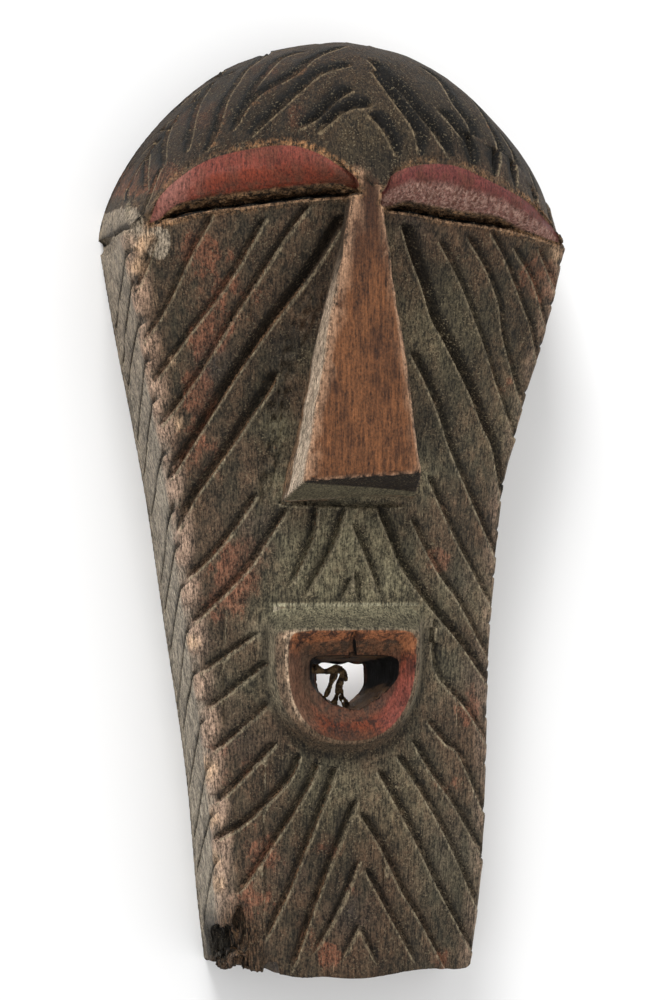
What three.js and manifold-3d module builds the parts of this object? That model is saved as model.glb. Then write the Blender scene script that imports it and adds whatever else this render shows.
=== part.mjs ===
import * as THREE from 'three';
import Module from 'manifold-3d';
import { mergeVertices } from 'three/addons/utils/BufferGeometryUtils.js';

// A small carved wooden mask lying on its back, in millimetres.
// The rim round its hollow back rests on z = 0, the carved face looks up
// along +z and the crown of the head points along +y.

const wasm = await Module();
wasm.setup();

const crownY = 85.8;
const browY = 49;
const chinY = -85;
const crownFlatY = 79;
const crownFlatness = 0.045;
const headReach = crownY - browY + crownFlatness * (crownY - crownFlatY) ** 2;
const foreheadHeight = 46;
const outlinePower = 1.62;
const domePower = 3;
const wallLean = 0.3;

const stationY = [chinY, -71, -49, -20, 2, 16, 31, browY];
const leftHalf = [21.7, 23.2, 25.2, 29.5, 32.8, 35.4, 38.4, 41.6];
const rightHalf = [24.3, 25.9, 26.8, 27.5, 29.3, 32.2, 36.7, 41.4];

const clamp = THREE.MathUtils.clamp;
const lerp = THREE.MathUtils.lerp;

// Smooth curve through the half widths measured along the mask.
function halfWidth(side, y) {
  const sizes = side < 0 ? leftHalf : rightHalf;
  const last = stationY.length - 1;
  const at = clamp(y, chinY, browY);
  let i = 0;
  while (i < last - 1 && at > stationY[i + 1]) {
    i += 1;
  }
  const step = stationY[i + 1] - stationY[i];
  const t = (at - stationY[i]) / step;
  const rise = (k) => (sizes[k + 1] - sizes[k]) / (stationY[k + 1] - stationY[k]);
  const here = i === 0 ? rise(0) : (rise(i - 1) + rise(i)) / 2;
  const next = i === last - 1 ? rise(last - 1) : (rise(i) + rise(i + 1)) / 2;
  const cubic = (2 * t ** 3 - 3 * t ** 2 + 1) * sizes[i] + (3 * t ** 2 - 2 * t ** 3) * sizes[i + 1];
  return cubic + step * (here * (t ** 3 - 2 * t ** 2 + t) + next * (t ** 3 - t ** 2));
}

// Share of the way from the brow line to the crown, flattened near the crown.
function climb(y) {
  return (y - browY + crownFlatness * Math.max(0, y - crownFlatY) ** 2) / headReach;
}

function unclimb(share) {
  const reach = share * headReach;
  const straight = crownFlatY - browY;
  if (reach <= straight) {
    return browY + reach;
  }
  const over = reach - straight;
  return crownFlatY + (Math.sqrt(1 + 4 * crownFlatness * over) - 1) / (2 * crownFlatness);
}

function rimHalf(side, y) {
  const up = clamp(climb(y), 0, 1);
  return halfWidth(side, y) * (1 - up ** outlinePower) ** (1 / outlinePower);
}

const sideOf = (x) => (x < 0 ? -1 : 1);
const midHeight = (y) => 30 + 0.0952 * (y + 20) + 0.000636 * (y + 20) ** 2;
const edgeHeight = (y) => 22 + 0.053 * (y + 20);

function cheekHeight(x, y) {
  const across = clamp(Math.abs(x) / Math.max(rimHalf(sideOf(x), y), 0.01), 0, 1);
  return lerp(midHeight(y), edgeHeight(y), across ** 2);
}

function domeHeight(x, y) {
  const across = Math.abs(x) / halfWidth(sideOf(x), browY);
  const plan = (across ** outlinePower + Math.max(0, climb(y)) ** outlinePower) ** (1 / outlinePower);
  return foreheadHeight * (1 - Math.min(1, plan) ** domePower) ** (1 / domePower);
}

// The line where the cheeks end under the eyelids.
function eyeLine(x) {
  return x < 0 ? 56 + 0.125 * x : 54.4 - 0.165 * x;
}

const domeShare = (x, y) => THREE.MathUtils.smoothstep(y - eyeLine(x), -1, 8);
const faceHeight = (x, y) => lerp(cheekHeight(x, y), domeHeight(x, y), domeShare(x, y));

// Turns a square grid cell into a round one: u across, v along, t up.
function roundCell(u, v, t) {
  const a = u * Math.sqrt(1 - v * v / 2 - t * t / 2 + v * v * t * t / 3);
  const b = v * Math.sqrt(1 - u * u / 2 - t * t / 2 + u * u * t * t / 3);
  const c = t * Math.sqrt(1 - u * u / 2 - v * v / 2 + u * u * v * v / 3);
  return [a, b, c];
}

// Plan position on a flat layer; inset moves the whole outline inwards.
function planPoint(u, v, inset) {
  const side = sideOf(u);
  if (v <= 0) {
    const y = lerp(browY, chinY + inset, -v);
    return [u * (halfWidth(side, y) - inset), y];
  }
  const a = u * Math.sqrt(1 - v * v / 2);
  const b = v * Math.sqrt(1 - u * u / 2);
  const size = Math.hypot(a, b);
  const swell = size / (Math.abs(a) ** outlinePower + b ** outlinePower) ** (1 / outlinePower);
  const y = unclimb(Math.min(1, b * swell));
  return [a * swell * (halfWidth(side, browY) - inset), lerp(browY, y, 1 - inset / headReach)];
}

function domePoint(u, v, t) {
  const [a, b, c] = roundCell(u, v, t);
  const flat = Math.hypot(a, b);
  const swell = Math.hypot(flat, c) / (flat ** domePower + c ** domePower) ** (1 / domePower) || 0;
  const spread = flat / (Math.abs(a) ** outlinePower + b ** outlinePower) ** (1 / outlinePower) || 0;
  const x = a * swell * spread * halfWidth(sideOf(u), browY);
  return [x, unclimb(Math.min(1, b * swell * spread)), c * swell * foreheadHeight];
}

function maskPoint(u, v, t) {
  const [px, py] = planPoint(u, v, 0);
  const lean = 1 - wallLean * t / Math.max(1, Math.abs(px));
  const cheek = [px * lean, py, t * cheekHeight(px, py)];
  if (v <= 0) {
    return cheek;
  }
  const dome = domePoint(u, v, t);
  const share = domeShare(px, py);
  return cheek.map((value, k) => lerp(value, dome[k], share));
}

// Turns a geometry into a solid after moving its points.
function solid(geometry, move) {
  const spots = geometry.attributes.position;
  for (let i = 0; i < spots.count; i += 1) {
    spots.setXYZ(i, ...move(spots.getX(i), spots.getY(i), spots.getZ(i)));
  }
  geometry.deleteAttribute('normal');
  geometry.deleteAttribute('uv');
  const merged = mergeVertices(geometry, 0.0001);
  const mesh = new wasm.Mesh({
    numProp: 3,
    vertProperties: merged.attributes.position.array,
    triVerts: new Uint32Array(merged.index.array),
  });
  return new wasm.Manifold(mesh);
}

const cellBox = (across, along, up) => new THREE.BoxGeometry(2, 2, 1, across, along, up);

// Rows below the brow are longer than the rows of the dome.
const cheekRows = 12;
const domeRows = 10;
const rowShare = cheekRows / (cheekRows + domeRows);
function rowToV(y) {
  const share = (y + 1) / 2;
  return share <= rowShare ? share / rowShare - 1 : (share - rowShare) / (1 - rowShare);
}

const blank = solid(cellBox(16, cheekRows + domeRows, 4), (x, y, z) => maskPoint(x, rowToV(y), z + 0.5));

function surfaceOf(shape) {
  const { vertProperties, numProp, triVerts } = shape.getMesh();
  const geometry = new THREE.BufferGeometry();
  geometry.setAttribute('position', new THREE.BufferAttribute(vertProperties, numProp));
  geometry.setIndex(new THREE.BufferAttribute(triVerts, 1));
  geometry.computeVertexNormals();
  return geometry;
}

// Drops a point straight onto the blank, so that cuts follow its facets.
const blankSkin = new THREE.Mesh(surfaceOf(blank), new THREE.MeshBasicMaterial({ side: THREE.DoubleSide }));
const probe = new THREE.Raycaster();
const probeReach = 12;
function settle(at, out) {
  probe.set(at.clone().addScaledVector(out, probeReach), out.clone().negate());
  const hit = probe.intersectObject(blankSkin)[0];
  return { at: hit ? hit.point : at, out };
}

// Hollow back: a smooth trough, deeper behind the forehead.
const rimWidth = 7;
const troughLean = 3;
const troughDrop = 2;
function troughPoint(u, v, t) {
  const [x, y] = planPoint(u, v, rimWidth + troughLean * t);
  const ends = v > 0 ? 1 - 0.45 * v ** 4 : 1 - 0.35 * v ** 8;
  const ceiling = (15.5 + 0.125 * (y + 31)) * (1 - 0.4 * u ** 4) * ends;
  return [x, y, lerp(-troughDrop, ceiling, t)];
}
const trough = solid(cellBox(8, 14, 2), (x, y, z) => troughPoint(x, y, z + 0.5));

// Nose: a long tapered wedge, its underside slanting back to the lip.
const noseTopY = 60;
const noseTipY = 5.7;
const noseFootY = -2.4;
const noseTipSlant = 0.07;
const noseFrontHeight = 45;
const noseRootHeight = 20;
function nosePoint(u, v, t) {
  const drop = (1 - v) / 2;
  const left = lerp(lerp(3, 2.2, t), lerp(14.6, 11.9, t), drop);
  const right = lerp(lerp(2.4, 1.2, t), lerp(12.4, 9.3, t), drop);
  const x = u < 0 ? u * left : u * right;
  const y = lerp(noseTopY, lerp(noseFootY, noseTipY + noseTipSlant * x, t), drop);
  const height = lerp(noseFrontHeight, noseFrontHeight - 0.6, drop);
  return [x, y, lerp(noseRootHeight, height, t)];
}
const nose = solid(cellBox(2, 5, 1), (x, y, z) => nosePoint(x, y, z + 0.5));

// A ring outline that is square at the top and round at the bottom.
const squareness = 7;
function mouthOutline(x, y, centre, half, above, below) {
  const angle = Math.atan2(y, x);
  const reach = Math.hypot(x, y);
  const power = y > 0 ? 2 / squareness : 0.86;
  const a = Math.sign(x) * Math.abs(Math.cos(angle)) ** power;
  const b = Math.sin(angle) > 0 ? above * Math.sin(angle) ** power : -below * Math.abs(Math.sin(angle)) ** power;
  return [centre[0] + reach * half * a, centre[1] + reach * b];
}

function mouthSolid(bottom, top) {
  const column = new THREE.CylinderGeometry(1, 1, 1, 24, 1).rotateX(Math.PI / 2);
  return solid(column, (x, y, z) => {
    const layer = z < 0 ? bottom : top;
    const [px, py] = mouthOutline(x, y, layer.centre, layer.half, layer.above, layer.below);
    return [px, py, layer.height(px, py)];
  });
}

const lipRise = (y) => lerp(2.6, 4.2, clamp((y + 43) / 20, 0, 1));
const mouthBlock = mouthSolid(
  { centre: [-0.9, -26], half: 15.6, above: 11.8, below: 20.4, height: (x, y) => faceHeight(x, y) - 4 },
  { centre: [-1.2, -26], half: 13.3, above: 4.8, below: 16.3, height: (x, y) => faceHeight(x, y) + lipRise(y) },
);
const lipFunnel = mouthSolid(
  { centre: [-0.4, -30.5], half: 7.4, above: 3.6, below: 6.2, height: (x, y) => faceHeight(x, y) - 0.6 },
  { centre: [-0.55, -26.1], half: 12, above: 4.5, below: 15.7, height: (x, y) => faceHeight(x, y) + lipRise(y) + 0.6 },
);
const mouthHole = mouthSolid(
  { centre: [0.7, -32], half: 3.7, above: 3.6, below: 4, height: () => 12 },
  { centre: [0.1, -29.2], half: 8.9, above: 2.9, below: 7.5, height: () => 33 },
);

// Eyes: a leaf-shaped recess with a bulging lid that dives to a deep slit.
const eyes = [
  { inner: [-1.8, 56], outer: [-37.8, 51.2], rise: 10.4, skew: 1.1, slit: 4 },
  { inner: [1.5, 54.6], outer: [38.2, 48.2], rise: 9.6, skew: 0.68, slit: 4 },
];
const lidStep = 0.8;
const slitGap = 1.3;
function eyeSolid(eye) {
  const along = 9;
  const across = 5;
  return solid(cellBox(along, across, 1), (u, v, z) => {
    const a = (1 + u * sideOf(eye.outer[0])) / 2;
    const row = Math.round((v + 1) / 2 * across);
    const arch = Math.sqrt(1 - Math.abs(2 * a ** eye.skew - 1) ** 3);
    const x = lerp(eye.inner[0], eye.outer[0], a);
    const low = lerp(eye.inner[1], eye.outer[1], a);
    const high = low + 0.5 + eye.rise * arch;
    const lidStart = low + Math.min(slitGap, 0.35 * (high - low));
    const share = row < 2 ? 0 : (row - 2) / (across - 2);
    const edgeY = [low, lidStart][Math.min(row, 1)];
    const y = row < 2 ? edgeY : lerp(lidStart + 0.1, high, share);
    const floorLow = cheekHeight(x, low) - (row < 2 ? eye.slit * arch + 0.4 : lidStep);
    const floorHigh = faceHeight(x, high) - lidStep;
    const floor = lerp(floorLow, floorHigh, Math.sin(share * Math.PI / 2) ** 0.6);
    return z < 0 ? [x, y, floor] : [x, y, foreheadHeight + 8];
  });
}

// A V-shaped cut that follows a path: points with their outward directions.
const cutLift = 1.8;
function cutSolid(spots, half, depth) {
  const last = spots.length - 1;
  return solid(new THREE.CylinderGeometry(1, 1, last, 3, last), (x, y, z) => {
    const i = Math.round(y + last / 2);
    const { at, out } = spots[i];
    const ahead = spots[Math.min(i + 1, last)].at.clone().sub(spots[Math.max(i - 1, 0)].at).normalize();
    const across = new THREE.Vector3().crossVectors(out, ahead).normalize();
    const deep = i === 0 || i === last ? depth * 0.35 : depth;
    const wide = half * (deep + cutLift) / depth;
    const sunk = (2 * z + 1) / 3;
    const point = at.clone().addScaledVector(out, lerp(cutLift, -deep, sunk));
    return point.addScaledVector(across, x * wide * 2 / Math.sqrt(3)).toArray();
  });
}

// Point and outward direction on the carved face above a plan position.
function onFace(x, y) {
  const d = 0.2;
  const slopeX = (faceHeight(x + d, y) - faceHeight(x - d, y)) / (2 * d);
  const slopeY = (faceHeight(x, y + d) - faceHeight(x, y - d)) / (2 * d);
  const out = new THREE.Vector3(-slopeX, -slopeY, 1).normalize();
  return settle(new THREE.Vector3(x, y, faceHeight(x, y)), out);
}

const curveThrough = ([x0, y0], [x1, y1], [x2, y2]) => (t) => {
  const s = 1 - t;
  return [s * s * x0 + 2 * s * t * x1 + t * t * x2, s * s * y0 + 2 * s * t * y1 + t * t * y2];
};
const blend = (p, q, t) => [lerp(p[0], q[0], t), lerp(p[1], q[1], t)];

// Families of neighbouring grooves. Each is laid out between its first and
// last groove, both given by start, bend and end on the plan.
const grooveFamilies = [
  { count: 4, half: 0.7, first: [[-36, 48.6], [-38.3, 41.6], [-40, 38]], last: [[-10.2, 54], [-21, 37], [-34.6, 15]] },
  { count: 1, half: 1.1, first: [[-4.2, 53], [-14.5, 35.5], [-32.8, 5.3]] },
  { count: 1, half: 1, first: [[-12.4, 26.4], [-19, 14], [-31, -5]] },
  { count: 2, half: 0.7, first: [[-17.7, 2.6], [-24, -6.4], [-30, -12.8]], last: [[-12.2, 0.1], [-18.6, -10.4], [-28.8, -20.9]] },
  { count: 4, half: 0.7, first: [[-16.6, -22], [-22, -25.5], [-27.6, -30]], last: [[-13, -41.8], [-18, -47.6], [-25, -55]] },
  { count: 3, half: 0.7, first: [[-9.2, -44.3], [-14, -53], [-24.3, -60.6]], last: [[-2.4, -45.9], [-7, -60], [-15.2, -78.4]] },
  { count: 3, half: 0.6, first: [[1.2, -52.7], [-4, -65.1], [-9.9, -81.8]], last: [[1.8, -75.2], [0.5, -78.5], [-1.5, -82]] },
  { count: 3, half: 0.7, first: [[34.8, 47.3], [37, 44], [38.8, 40]], last: [[24.5, 50], [30.5, 40.5], [35.4, 27.4]] },
  { count: 2, half: 0.7, first: [[19.9, 49], [26.5, 38], [32.2, 20.7]], last: [[14.4, 48], [23, 33], [30.6, 13.5]] },
  { count: 1, half: 1.1, first: [[7, 51], [14, 30], [29.2, -1.5]] },
  { count: 1, half: 0.7, first: [[10.5, 26.5], [17, 14], [28.4, -8]] },
  { count: 2, half: 0.7, first: [[13.8, 5.7], [20, -6], [27.6, -17.3]], last: [[10.7, -1.7], [16.6, -12], [27, -27.2]] },
  { count: 1, half: 0.9, first: [[3.9, 0.3], [11, -15], [27, -31.6]] },
  { count: 2, half: 0.7, first: [[15.2, -20], [18.5, -32], [27, -42.8]], last: [[14.7, -38], [20.5, -44], [26.7, -55.6]] },
  { count: 3, half: 0.7, first: [[11.9, -42.1], [19, -51.5], [26.5, -63]], last: [[5.3, -48], [13, -60], [24.2, -79.4]] },
  { count: 3, half: 0.6, first: [[2, -55.2], [9.5, -67], [18.6, -82.4]], last: [[2.1, -75.7], [3.5, -79], [5.2, -82.1]] },
  { count: 3, half: 0.5, first: [[-7.1, 0.6], [-8, -6], [-11.4, -13.8]], last: [[-0.4, -3.2], [2.8, -9.6], [5.4, -15.5]] },
  { count: 3, half: 0.7, first: [[-11, 82.6], [-22, 79], [-28, 64.2]], last: [[-0.7, 83.4], [-17, 77.5], [-22.4, 68.4]] },
  { count: 3, half: 0.6, first: [[-1.8, 79.6], [-12, 76], [-20.3, 66.2]], last: [[0.6, 71.6], [-5, 71.5], [-9.3, 66.5]] },
  { count: 4, half: 0.7, first: [[-21, 78.2], [-28, 73], [-31, 63.6]], last: [[-36.5, 62.5], [-39.3, 58.5], [-40.3, 53]] },
  { count: 3, half: 0.7, first: [[0.2, 70.2], [3.5, 67], [4.7, 62.8]], last: [[1.9, 80.5], [10.5, 72], [15.1, 62.4]] },
  { count: 2, half: 0.6, first: [[9, 80.6], [18.6, 74], [19.8, 61.8]], last: [[18, 77.6], [25.4, 70], [24.6, 59.6]] },
  { count: 3, half: 0.6, first: [[25.6, 72.4], [29.6, 66.5], [28.6, 58]], last: [[36.6, 62], [38.6, 57], [38.2, 51]] },
];
const grooveDepth = 0.75;
const grooveStep = 9;

const cuts = [];
for (const family of grooveFamilies) {
  for (let k = 0; k < family.count; k += 1) {
    const share = family.count > 1 ? k / (family.count - 1) : 0;
    const last = family.last ?? family.first;
    const way = curveThrough(...family.first.map((point, j) => blend(point, last[j], share)));
    const [start, end] = [way(0), way(1)];
    const steps = Math.max(2, Math.round(Math.hypot(end[0] - start[0], end[1] - start[1]) / grooveStep));
    const spots = Array.from({ length: steps + 1 }, (_, j) => onFace(...way(j / steps)));
    cuts.push(cutSolid(spots, family.half, grooveDepth));
  }
}

// Slanted cuts down both side walls, and the notch that carries the eye line
// round to the back.
const wallPitch = 8.6;
const wallCuts = 13;
const wallSlope = 13;
function onWall(side, y, share) {
  const height = lerp(edgeHeight(y) + 0.6, 2.5, share);
  const rest = maskPoint(side, (y - browY) / (browY - chinY), height / cheekHeight(side * 60, y));
  return settle(new THREE.Vector3(rest[0], rest[1], height), new THREE.Vector3(side, 0, 0));
}
for (const side of [-1, 1]) {
  for (let k = 0; k < wallCuts; k += 1) {
    const startY = 38 - wallPitch * k;
    const spots = [0, 0.5, 1].map((share) => onWall(side, startY - wallSlope * share, share));
    cuts.push(cutSolid(spots, 0.7, grooveDepth));
  }
}
const notchDepth = 1.4;
for (const eye of eyes) {
  const side = sideOf(eye.outer[0]);
  const spots = [0, 0.35, 0.7, 1].map((share) => onWall(side, lerp(eye.outer[1] - 1.2, 47.4, share), share * 1.2));
  spots.unshift({ at: new THREE.Vector3(...eye.outer, faceHeight(...eye.outer)), out: new THREE.Vector3(side, 0, 1).normalize() });
  cuts.push(cutSolid(spots, notchDepth, notchDepth));
}

// The lower left corner has rotted away in two uneven pockets.
const decayPockets = [
  { at: [-17, -85, 13], size: [5.2, 7, 10] },
  { at: [-22.4, -78, 15.5], size: [3.4, 4.4, 5.6] },
];
for (const pocket of decayPockets) {
  const place = (x, y, z) => [x, y, z].map((value, k) => pocket.at[k] + pocket.size[k] * value);
  cuts.push(solid(new THREE.IcosahedronGeometry(1, 1), place));
}

let carved = blank;
for (const cut of cuts) {
  carved = carved.subtract(cut);
}
carved = carved.add(nose).add(mouthBlock);
for (const eye of eyes) {
  carved = carved.subtract(eyeSolid(eye));
}
carved = carved.subtract(lipFunnel).subtract(mouthHole).subtract(trough);

const stainedWood = new THREE.MeshStandardMaterial({ color: 0x4a3226, roughness: 0.7, metalness: 0 });
const mask = new THREE.Mesh(surfaceOf(carved), stainedWood);
mask.name = 'mask';
mask.position.set((halfWidth(-1, browY) - halfWidth(1, browY)) / 2, -(crownY + chinY) / 2, 0);

const part = new THREE.Group();
part.name = 'miniature_mask';
part.add(mask);

export default part;
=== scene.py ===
import math

import bmesh
import bpy
import numpy as np
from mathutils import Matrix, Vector


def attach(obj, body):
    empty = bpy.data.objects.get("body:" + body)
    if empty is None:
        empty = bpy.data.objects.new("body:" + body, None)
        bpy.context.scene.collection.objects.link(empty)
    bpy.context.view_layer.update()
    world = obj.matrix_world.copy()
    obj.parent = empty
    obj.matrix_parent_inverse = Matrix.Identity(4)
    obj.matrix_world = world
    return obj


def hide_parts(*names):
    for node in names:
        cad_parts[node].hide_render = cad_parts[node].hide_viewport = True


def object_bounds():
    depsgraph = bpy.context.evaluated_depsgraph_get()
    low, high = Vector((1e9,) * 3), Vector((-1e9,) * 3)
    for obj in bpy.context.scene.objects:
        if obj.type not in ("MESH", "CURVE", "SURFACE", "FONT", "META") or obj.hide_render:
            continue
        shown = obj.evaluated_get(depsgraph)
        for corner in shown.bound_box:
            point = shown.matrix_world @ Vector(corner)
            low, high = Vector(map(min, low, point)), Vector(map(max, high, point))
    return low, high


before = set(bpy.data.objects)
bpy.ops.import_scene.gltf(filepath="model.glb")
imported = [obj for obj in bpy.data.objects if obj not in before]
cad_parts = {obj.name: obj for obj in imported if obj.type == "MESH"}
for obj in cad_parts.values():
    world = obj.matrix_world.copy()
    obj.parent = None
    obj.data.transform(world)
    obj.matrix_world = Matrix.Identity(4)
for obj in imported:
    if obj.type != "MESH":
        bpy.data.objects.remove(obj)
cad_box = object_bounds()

# A small carved wooden mask lying on its back on a pale floor.
# Everything is worked out in millimetres on the carver's plan: the crown
# points along +y, the face looks up along +z and the rim lies on z = 0.
# seat() then moves it to its place in the frame, in metres.

MM = 0.001
SEAT = np.array([0.1, -0.4, 0.0])

# The form of the head and face.

# Heights on the plan; above FLAT_Y the crown flattens.
CROWN_Y, FLAT_Y, BROW_Y, CHIN_Y = 85.8, 79.0, 49.0, -85.0
FLATNESS = 0.045
REACH = CROWN_Y - BROW_Y + FLATNESS * (CROWN_Y - FLAT_Y) ** 2
# The forehead's height off the floor, how square its plan and its side are,
# and how far the side walls lean in.
FOREHEAD = 46.0
OUTLINE_POWER = 1.62
DOME_POWER = 3.0
WALL_LEAN = 0.3
# Half widths to the left and right at stations from the chin to the brow.
STATIONS = np.array([-85.0, -71, -49, -20, 2, 16, 31, 49])
LEFT_HALF = np.array([21.7, 23.2, 25.2, 29.5, 32.8, 35.4, 38.4, 41.6])
RIGHT_HALF = np.array([24.9, 26.5, 27.4, 28.1, 29.9, 32.8, 37.2, 41.4])
# The worn lower edge of the chin, from left to right.
CHIN_LINE = (
    (-25, -83.4), (-22.8, -84.1), (-20.6, -83.3), (-18.4, -83.6), (-16, -84.1), (-11.7, -84.4),
    (-9.4, -84.8), (-4, -84.8), (1.7, -85.0), (6.3, -84.7), (10.7, -84.1), (15.1, -83.9), (22, -84.2),
    (25, -84.0),
)


def mix(a, b, share):
    return a + (b - a) * share


def ramp(value, low, high):
    """Smooth step from 0 at low to 1 at high; low may be the larger."""
    t = np.clip((value - low) / (high - low), 0, 1)
    return t * t * (3 - 2 * t)


def curve_through(places, values, at):
    """Smooth curve through values measured at places."""
    at = np.clip(at, places[0], places[-1])
    rises = np.diff(values) / np.diff(places)
    slope = np.concatenate([rises[:1], (rises[:-1] + rises[1:]) / 2, rises[-1:]])
    i = np.clip(np.searchsorted(places, at, side="right") - 1, 0, len(places) - 2)
    step = places[i + 1] - places[i]
    t = (at - places[i]) / step
    level = values[i] * (2 * t**3 - 3 * t**2 + 1) + values[i + 1] * (3 * t**2 - 2 * t**3)
    return level + step * (slope[i] * (t**3 - 2 * t**2 + t) + slope[i + 1] * (t**3 - t**2))


def chin_line(x):
    return curve_through(*np.array(CHIN_LINE).T, x)


def half_width(x, y):
    left = curve_through(STATIONS, LEFT_HALF, y)
    return np.where(x < 0, left, curve_through(STATIONS, RIGHT_HALF, y))


def climb(y):
    """Share of the way from the brow line to the crown."""
    return (y - BROW_Y + FLATNESS * np.maximum(0, y - FLAT_Y) ** 2) / REACH


def unclimb(share):
    """The height on the plan at a share of the climb."""
    reach = share * REACH
    straight = FLAT_Y - BROW_Y
    over = np.maximum(0, reach - straight)
    high = FLAT_Y + (np.sqrt(1 + 4 * FLATNESS * over) - 1) / (2 * FLATNESS)
    return np.where(reach <= straight, BROW_Y + reach, high)


def power_length(a, b, power):
    return (np.abs(a) ** power + np.abs(b) ** power) ** (1 / power)


def rim_half(x, y):
    """Half width of the outline, forehead and all."""
    up = np.clip(climb(y), 0, 1)
    return half_width(x, y) * (1 - up**OUTLINE_POWER) ** (1 / OUTLINE_POWER)


def inside_rim(x, y, gap):
    """Whether a place on the plan lies inside the outline by the gap."""
    return (np.abs(x) < rim_half(x, y + gap) - gap) & (y > CHIN_Y + gap)


def edge_height(y):
    return 22 + 0.053 * (y + 20)


def cheek_height(x, y):
    middle = 30 + 0.0952 * (y + 20) + 0.000636 * (y + 20) ** 2
    across = np.clip(np.abs(x) / np.maximum(rim_half(x, y), 0.01), 0, 1)
    return mix(middle, edge_height(y), across**2)


def dome_height(x, y):
    across = np.abs(x) / half_width(x, BROW_Y + 0 * y)
    plan = power_length(across, np.maximum(0, climb(y)), OUTLINE_POWER)
    return FOREHEAD * (1 - np.minimum(1, plan) ** DOME_POWER) ** (1 / DOME_POWER)


def eye_line(x):
    """Where the cheeks end under the eyelids."""
    return np.where(x < 0, 56 + 0.125 * x, 54.4 - 0.165 * x)


def dome_share(x, y):
    return ramp(y - eye_line(x), -1, 8)


def face_height(x, y):
    return mix(cheek_height(x, y), dome_height(x, y), dome_share(x, y))


def plan_point(u, v, inset):
    """Plan position of a cell; inset moves the whole outline inwards."""
    low_y = mix(BROW_Y, CHIN_Y + inset, np.clip(-v, 0, 1))
    low_x = u * (half_width(u, low_y) - inset)
    up = np.clip(v, 0, 1)
    a = u * np.sqrt(1 - up * up / 2)
    b = up * np.sqrt(1 - u * u / 2)
    swell = np.hypot(a, b) / np.maximum(power_length(a, b, OUTLINE_POWER), 1e-9)
    high_x = a * swell * (half_width(u, BROW_Y + 0 * u) - inset)
    high_y = mix(BROW_Y, unclimb(np.minimum(1, b * swell)), 1 - inset / REACH)
    return np.where(v <= 0, low_x, high_x), np.where(v <= 0, low_y, high_y)


def dome_point(u, v, t):
    a = u * np.sqrt(1 - v * v / 2 - t * t / 2 + v * v * t * t / 3)
    b = v * np.sqrt(1 - u * u / 2 - t * t / 2 + u * u * t * t / 3)
    c = t * np.sqrt(1 - u * u / 2 - v * v / 2 + u * u * v * v / 3)
    flat = np.hypot(a, b)
    swell = np.hypot(flat, c) / np.maximum(power_length(flat, c, DOME_POWER), 1e-9)
    spread = flat / np.maximum(power_length(a, b, OUTLINE_POWER), 1e-9)
    x = a * swell * spread * half_width(u, BROW_Y + 0 * u)
    return x, unclimb(np.minimum(1, b * swell * spread)), c * swell * FOREHEAD


# The share of the blank's rows that make the cheeks.
CHEEK_ROWS = 0.58


def mask_point(u, v, t):
    """The blank: flat cheeks that pass over into the round forehead."""
    share = (v + 1) / 2
    v = np.where(share <= CHEEK_ROWS, share / CHEEK_ROWS - 1, (share - CHEEK_ROWS) / (1 - CHEEK_ROWS))
    x, y = plan_point(u, v, 0)
    lean = 1 - WALL_LEAN * t / np.maximum(1, np.abs(x))
    cheek = (x * lean, y, t * cheek_height(x, y))
    dome = dome_point(u, np.clip(v, 0, 1), t)
    share = np.where(v <= 0, 0, dome_share(x, y))
    x, y, z = (mix(low, high, share) for low, high in zip(cheek, dome))
    return x, y + (chin_line(x) - CHIN_Y) * ramp(y, -70, -85), z


# The blocks that are joined or cut away.

# The flat rim of the back, how far the hollow's walls lean in, and how far
# its cutter starts below the rim.
RIM_WIDTH = 7.0
TROUGH_LEAN = 3.0
TROUGH_DROP = 2.0


def trough_point(u, v, t):
    """The hollow back, deeper behind the forehead."""
    low = v < 0
    x, y = plan_point(u, v, RIM_WIDTH + TROUGH_LEAN * t)
    ends = np.where(low, 1 - 0.35 * v**8, 1 - 0.45 * v**4)
    ceiling = (15.5 + 0.125 * (y + 31)) * (1 - 0.4 * u**4) * ends
    return x, y, mix(-TROUGH_DROP, ceiling, t)


# The nose on the plan from its top to its foot, the slant of its tip, and the
# heights of its front and root.
NOSE_TOP, NOSE_TIP, NOSE_FOOT = 60.0, 5.7, -2.4
NOSE_TIP_SLANT = 0.07
NOSE_FRONT, NOSE_ROOT = 45.0, 20.0
NOSE_DIP = 0.6
# Half widths of the nose at its root and at its front: first at the top, then
# at the tip.
NOSE_LEFT = ((3, 2.2), (14.6, 11.9))
NOSE_RIGHT = ((2.4, 1.2), (12.4, 9.3))
# The corners of the nose's front.
TOP_LEFT, TOP_RIGHT = (-2.2, NOSE_TOP, NOSE_FRONT), (1.2, NOSE_TOP, NOSE_FRONT)
TIP_LEFT, TIP_RIGHT = (-11.9, 4.9, NOSE_FRONT - NOSE_DIP), (9.3, 6.4, NOSE_FRONT - NOSE_DIP)


def nose_point(u, v, t):
    """A wedge, narrow at the brow, with a flat underside."""
    drop = (1 - v) / 2
    left, right = (mix(mix(*top, t), mix(*tip, t), drop) for top, tip in (NOSE_LEFT, NOSE_RIGHT))
    x = np.where(u < 0, u * left, u * right)
    y = mix(NOSE_TOP, mix(NOSE_FOOT, NOSE_TIP + NOSE_TIP_SLANT * x, t), drop)
    height = mix(NOSE_FRONT, NOSE_FRONT - NOSE_DIP, drop)
    return x, y, mix(NOSE_ROOT, height, t)


# Along the left foot of the nose, where the wood is splintered.
NOSE_FOOT_LINE = ((-8.4, 38), (-12.4, 28), (-14.6, 18), (-15.6, 8), (-16.4, 2))

# How square a mouth outline is at the top and how round at the bottom.
MOUTH_SQUARENESS = 7.0
MOUTH_ROUNDNESS = 0.86


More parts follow.
